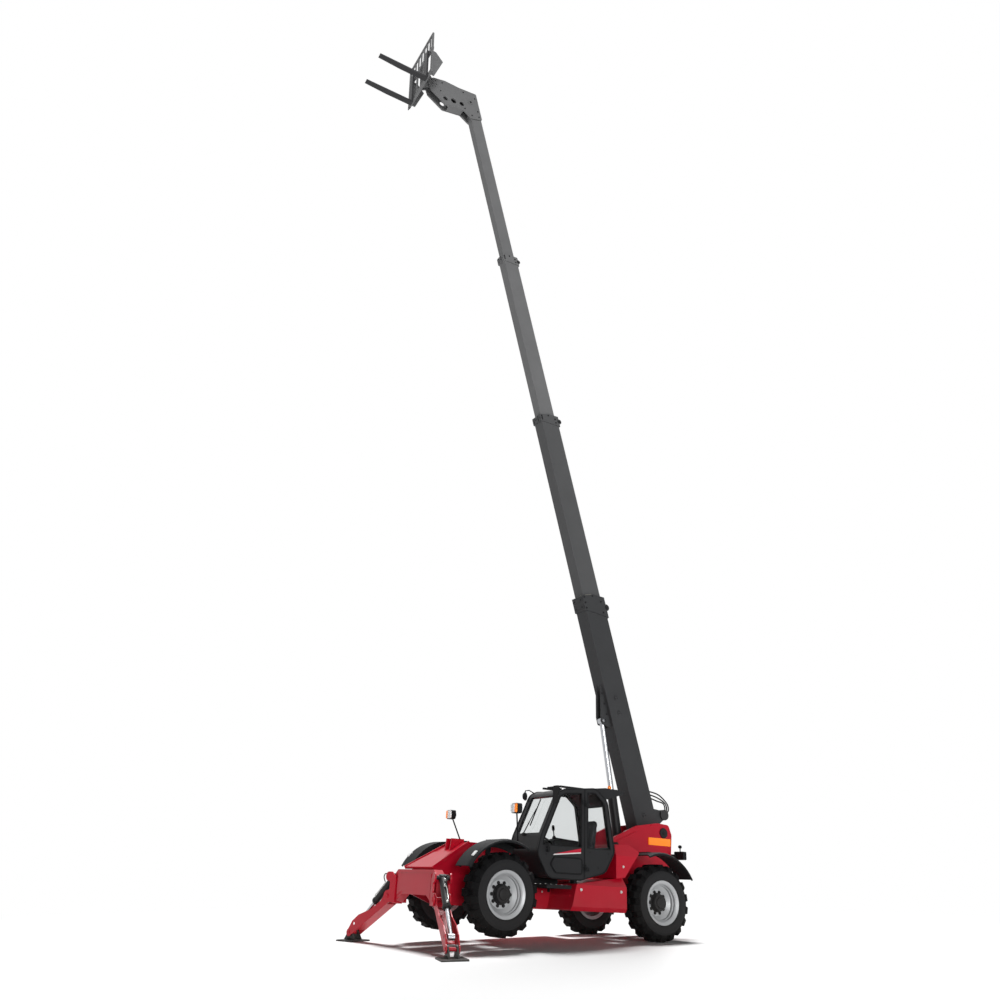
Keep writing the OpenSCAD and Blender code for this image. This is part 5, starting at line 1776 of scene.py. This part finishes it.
@dataclass
class Studio:
    """Floor, soft light and the camera at the photograph's angle."""

    camera_from_axle: tuple[float, float, float] = (10.3112, 13.1241, 1.1966)
    camera_yaw: float = 239.14
    camera_pitch: float = 23.39
    focal_px: float = 840.0
    sensor: float = 36.0
    far: float = 1000.0
    floor_half: float = 220.0
    floor_grey: float = 0.92
    floor_roughness: float = 0.9
    grey_to: float = 4.5
    white_from: float = 14.0
    soft_level: float = 0.04
    key: Sun = Sun("key", 3.8, 16.0, (23.0, 0.0, 325.0))
    fill: Sun = Sun("fill", 1.95, 24.0, (87.0, 0.0, 164.0))

    def build(self, machine: Machine) -> None:
        """Make the whole stage.

        Args:
            machine: the machine's places.
        """
        self._camera(machine)
        self._floor()
        self._lights()
        self._world()
        bpy.context.scene.view_settings.view_transform = "Standard"

    def _camera(self, machine: Machine) -> None:
        """Place the camera from the point on the ground under the rear axle.

        Args:
            machine: the machine's places.
        """
        data = bpy.data.cameras.new("camera")
        data.sensor_width = self.sensor
        data.lens = self.sensor * self.focal_px / IMAGE_SIZE
        data.clip_end = self.far
        camera = bpy.data.objects.new("camera", data)
        foot = Vector((machine.rear_axle.x, 0.0, 0.0))
        camera.location = foot + Vector(self.camera_from_axle)
        turn = (90 + self.camera_pitch, 0.0, self.camera_yaw - 90)
        camera.rotation_euler = tuple(math.radians(angle) for angle in turn)
        bpy.context.collection.objects.link(camera)
        bpy.context.scene.camera = camera

    def _floor(self) -> None:
        """A pale floor that fades to white away from the machine and keeps its shadow."""
        mesh = bpy.data.meshes.new("floor")
        half = self.floor_half
        mesh.from_pydata([(-half, -half, 0), (half, -half, 0), (half, half, 0), (-half, half, 0)], [],
                         [(0, 1, 2, 3)])
        floor = bpy.data.objects.new("floor", mesh)
        bpy.context.collection.objects.link(floor)
        material = bpy.data.materials.new("pale_floor")
        material.use_nodes = True
        graph = NodeGraph(material.node_tree)
        shader = graph.fill(material.node_tree.nodes["Principled BSDF"], {
            "Base Color": (self.floor_grey, self.floor_grey, self.floor_grey, 1.0),
            "Roughness": self.floor_roughness, "Specular IOR Level": 0.0})
        glow = graph.add("ShaderNodeEmission")
        reach = graph.add("ShaderNodeVectorMath", operation="LENGTH")
        graph.link(graph.add("ShaderNodeTexCoord").outputs["Object"], reach.inputs[0])
        fade = graph.fill(graph.add("ShaderNodeMapRange"), {
            "From Min": self.grey_to, "From Max": self.white_from, "To Min": 0.0})
        graph.link(reach.outputs["Value"], fade.inputs["Value"])
        share = graph.math("MULTIPLY", fade.outputs[0], graph.seen())
        graph.blend(share, shader, glow, "Material Output")
        mesh.materials.append(material)

    def _lights(self) -> None:
        """A key from overhead, and a broad fill from the camera's side for the upright faces."""
        for sun in (self.key, self.fill):
            data = bpy.data.lights.new(sun.name, "SUN")
            data.energy = sun.strength
            data.angle = math.radians(sun.width)
            lamp = bpy.data.objects.new(sun.name, data)
            lamp.rotation_euler = tuple(math.radians(angle) for angle in sun.turn)
            bpy.context.collection.objects.link(lamp)

    def _world(self) -> None:
        """White to the camera and in reflections, a plain soft level as light."""
        world = bpy.data.worlds.new("studio")
        bpy.context.scene.world = world
        world.use_nodes = True
        graph = NodeGraph(world.node_tree)
        white = (1.0, 1.0, 1.0, 1.0)
        soft = graph.fill(world.node_tree.nodes["Background"], {"Color": white, "Strength": self.soft_level})
        bright = graph.fill(graph.add("ShaderNodeBackground"), {"Color": white, "Strength": 1.0})
        graph.blend(graph.seen(), soft, bright, "World Output")


def main() -> None:
    """Build every class in order."""
    logging.basicConfig(level=logging.INFO, format="%(name)s: %(message)s")
    machine = Machine.from_frame()
    shop = Paintshop()
    shop.coat_nodes()
    log.info("finishes on %d nodes", len(frame["nodes"]))
    Studio().build(machine)
    log.info("studio")
    bench = Bench(machine, shop)
    for assembly in (BoomFittings(), Stabilisers(), Wheels(), Cab(), Body()):
        assembly.build(bench)
        log.info("%s dressed", type(assembly).__name__)


if __name__ == "__main__":
    main()
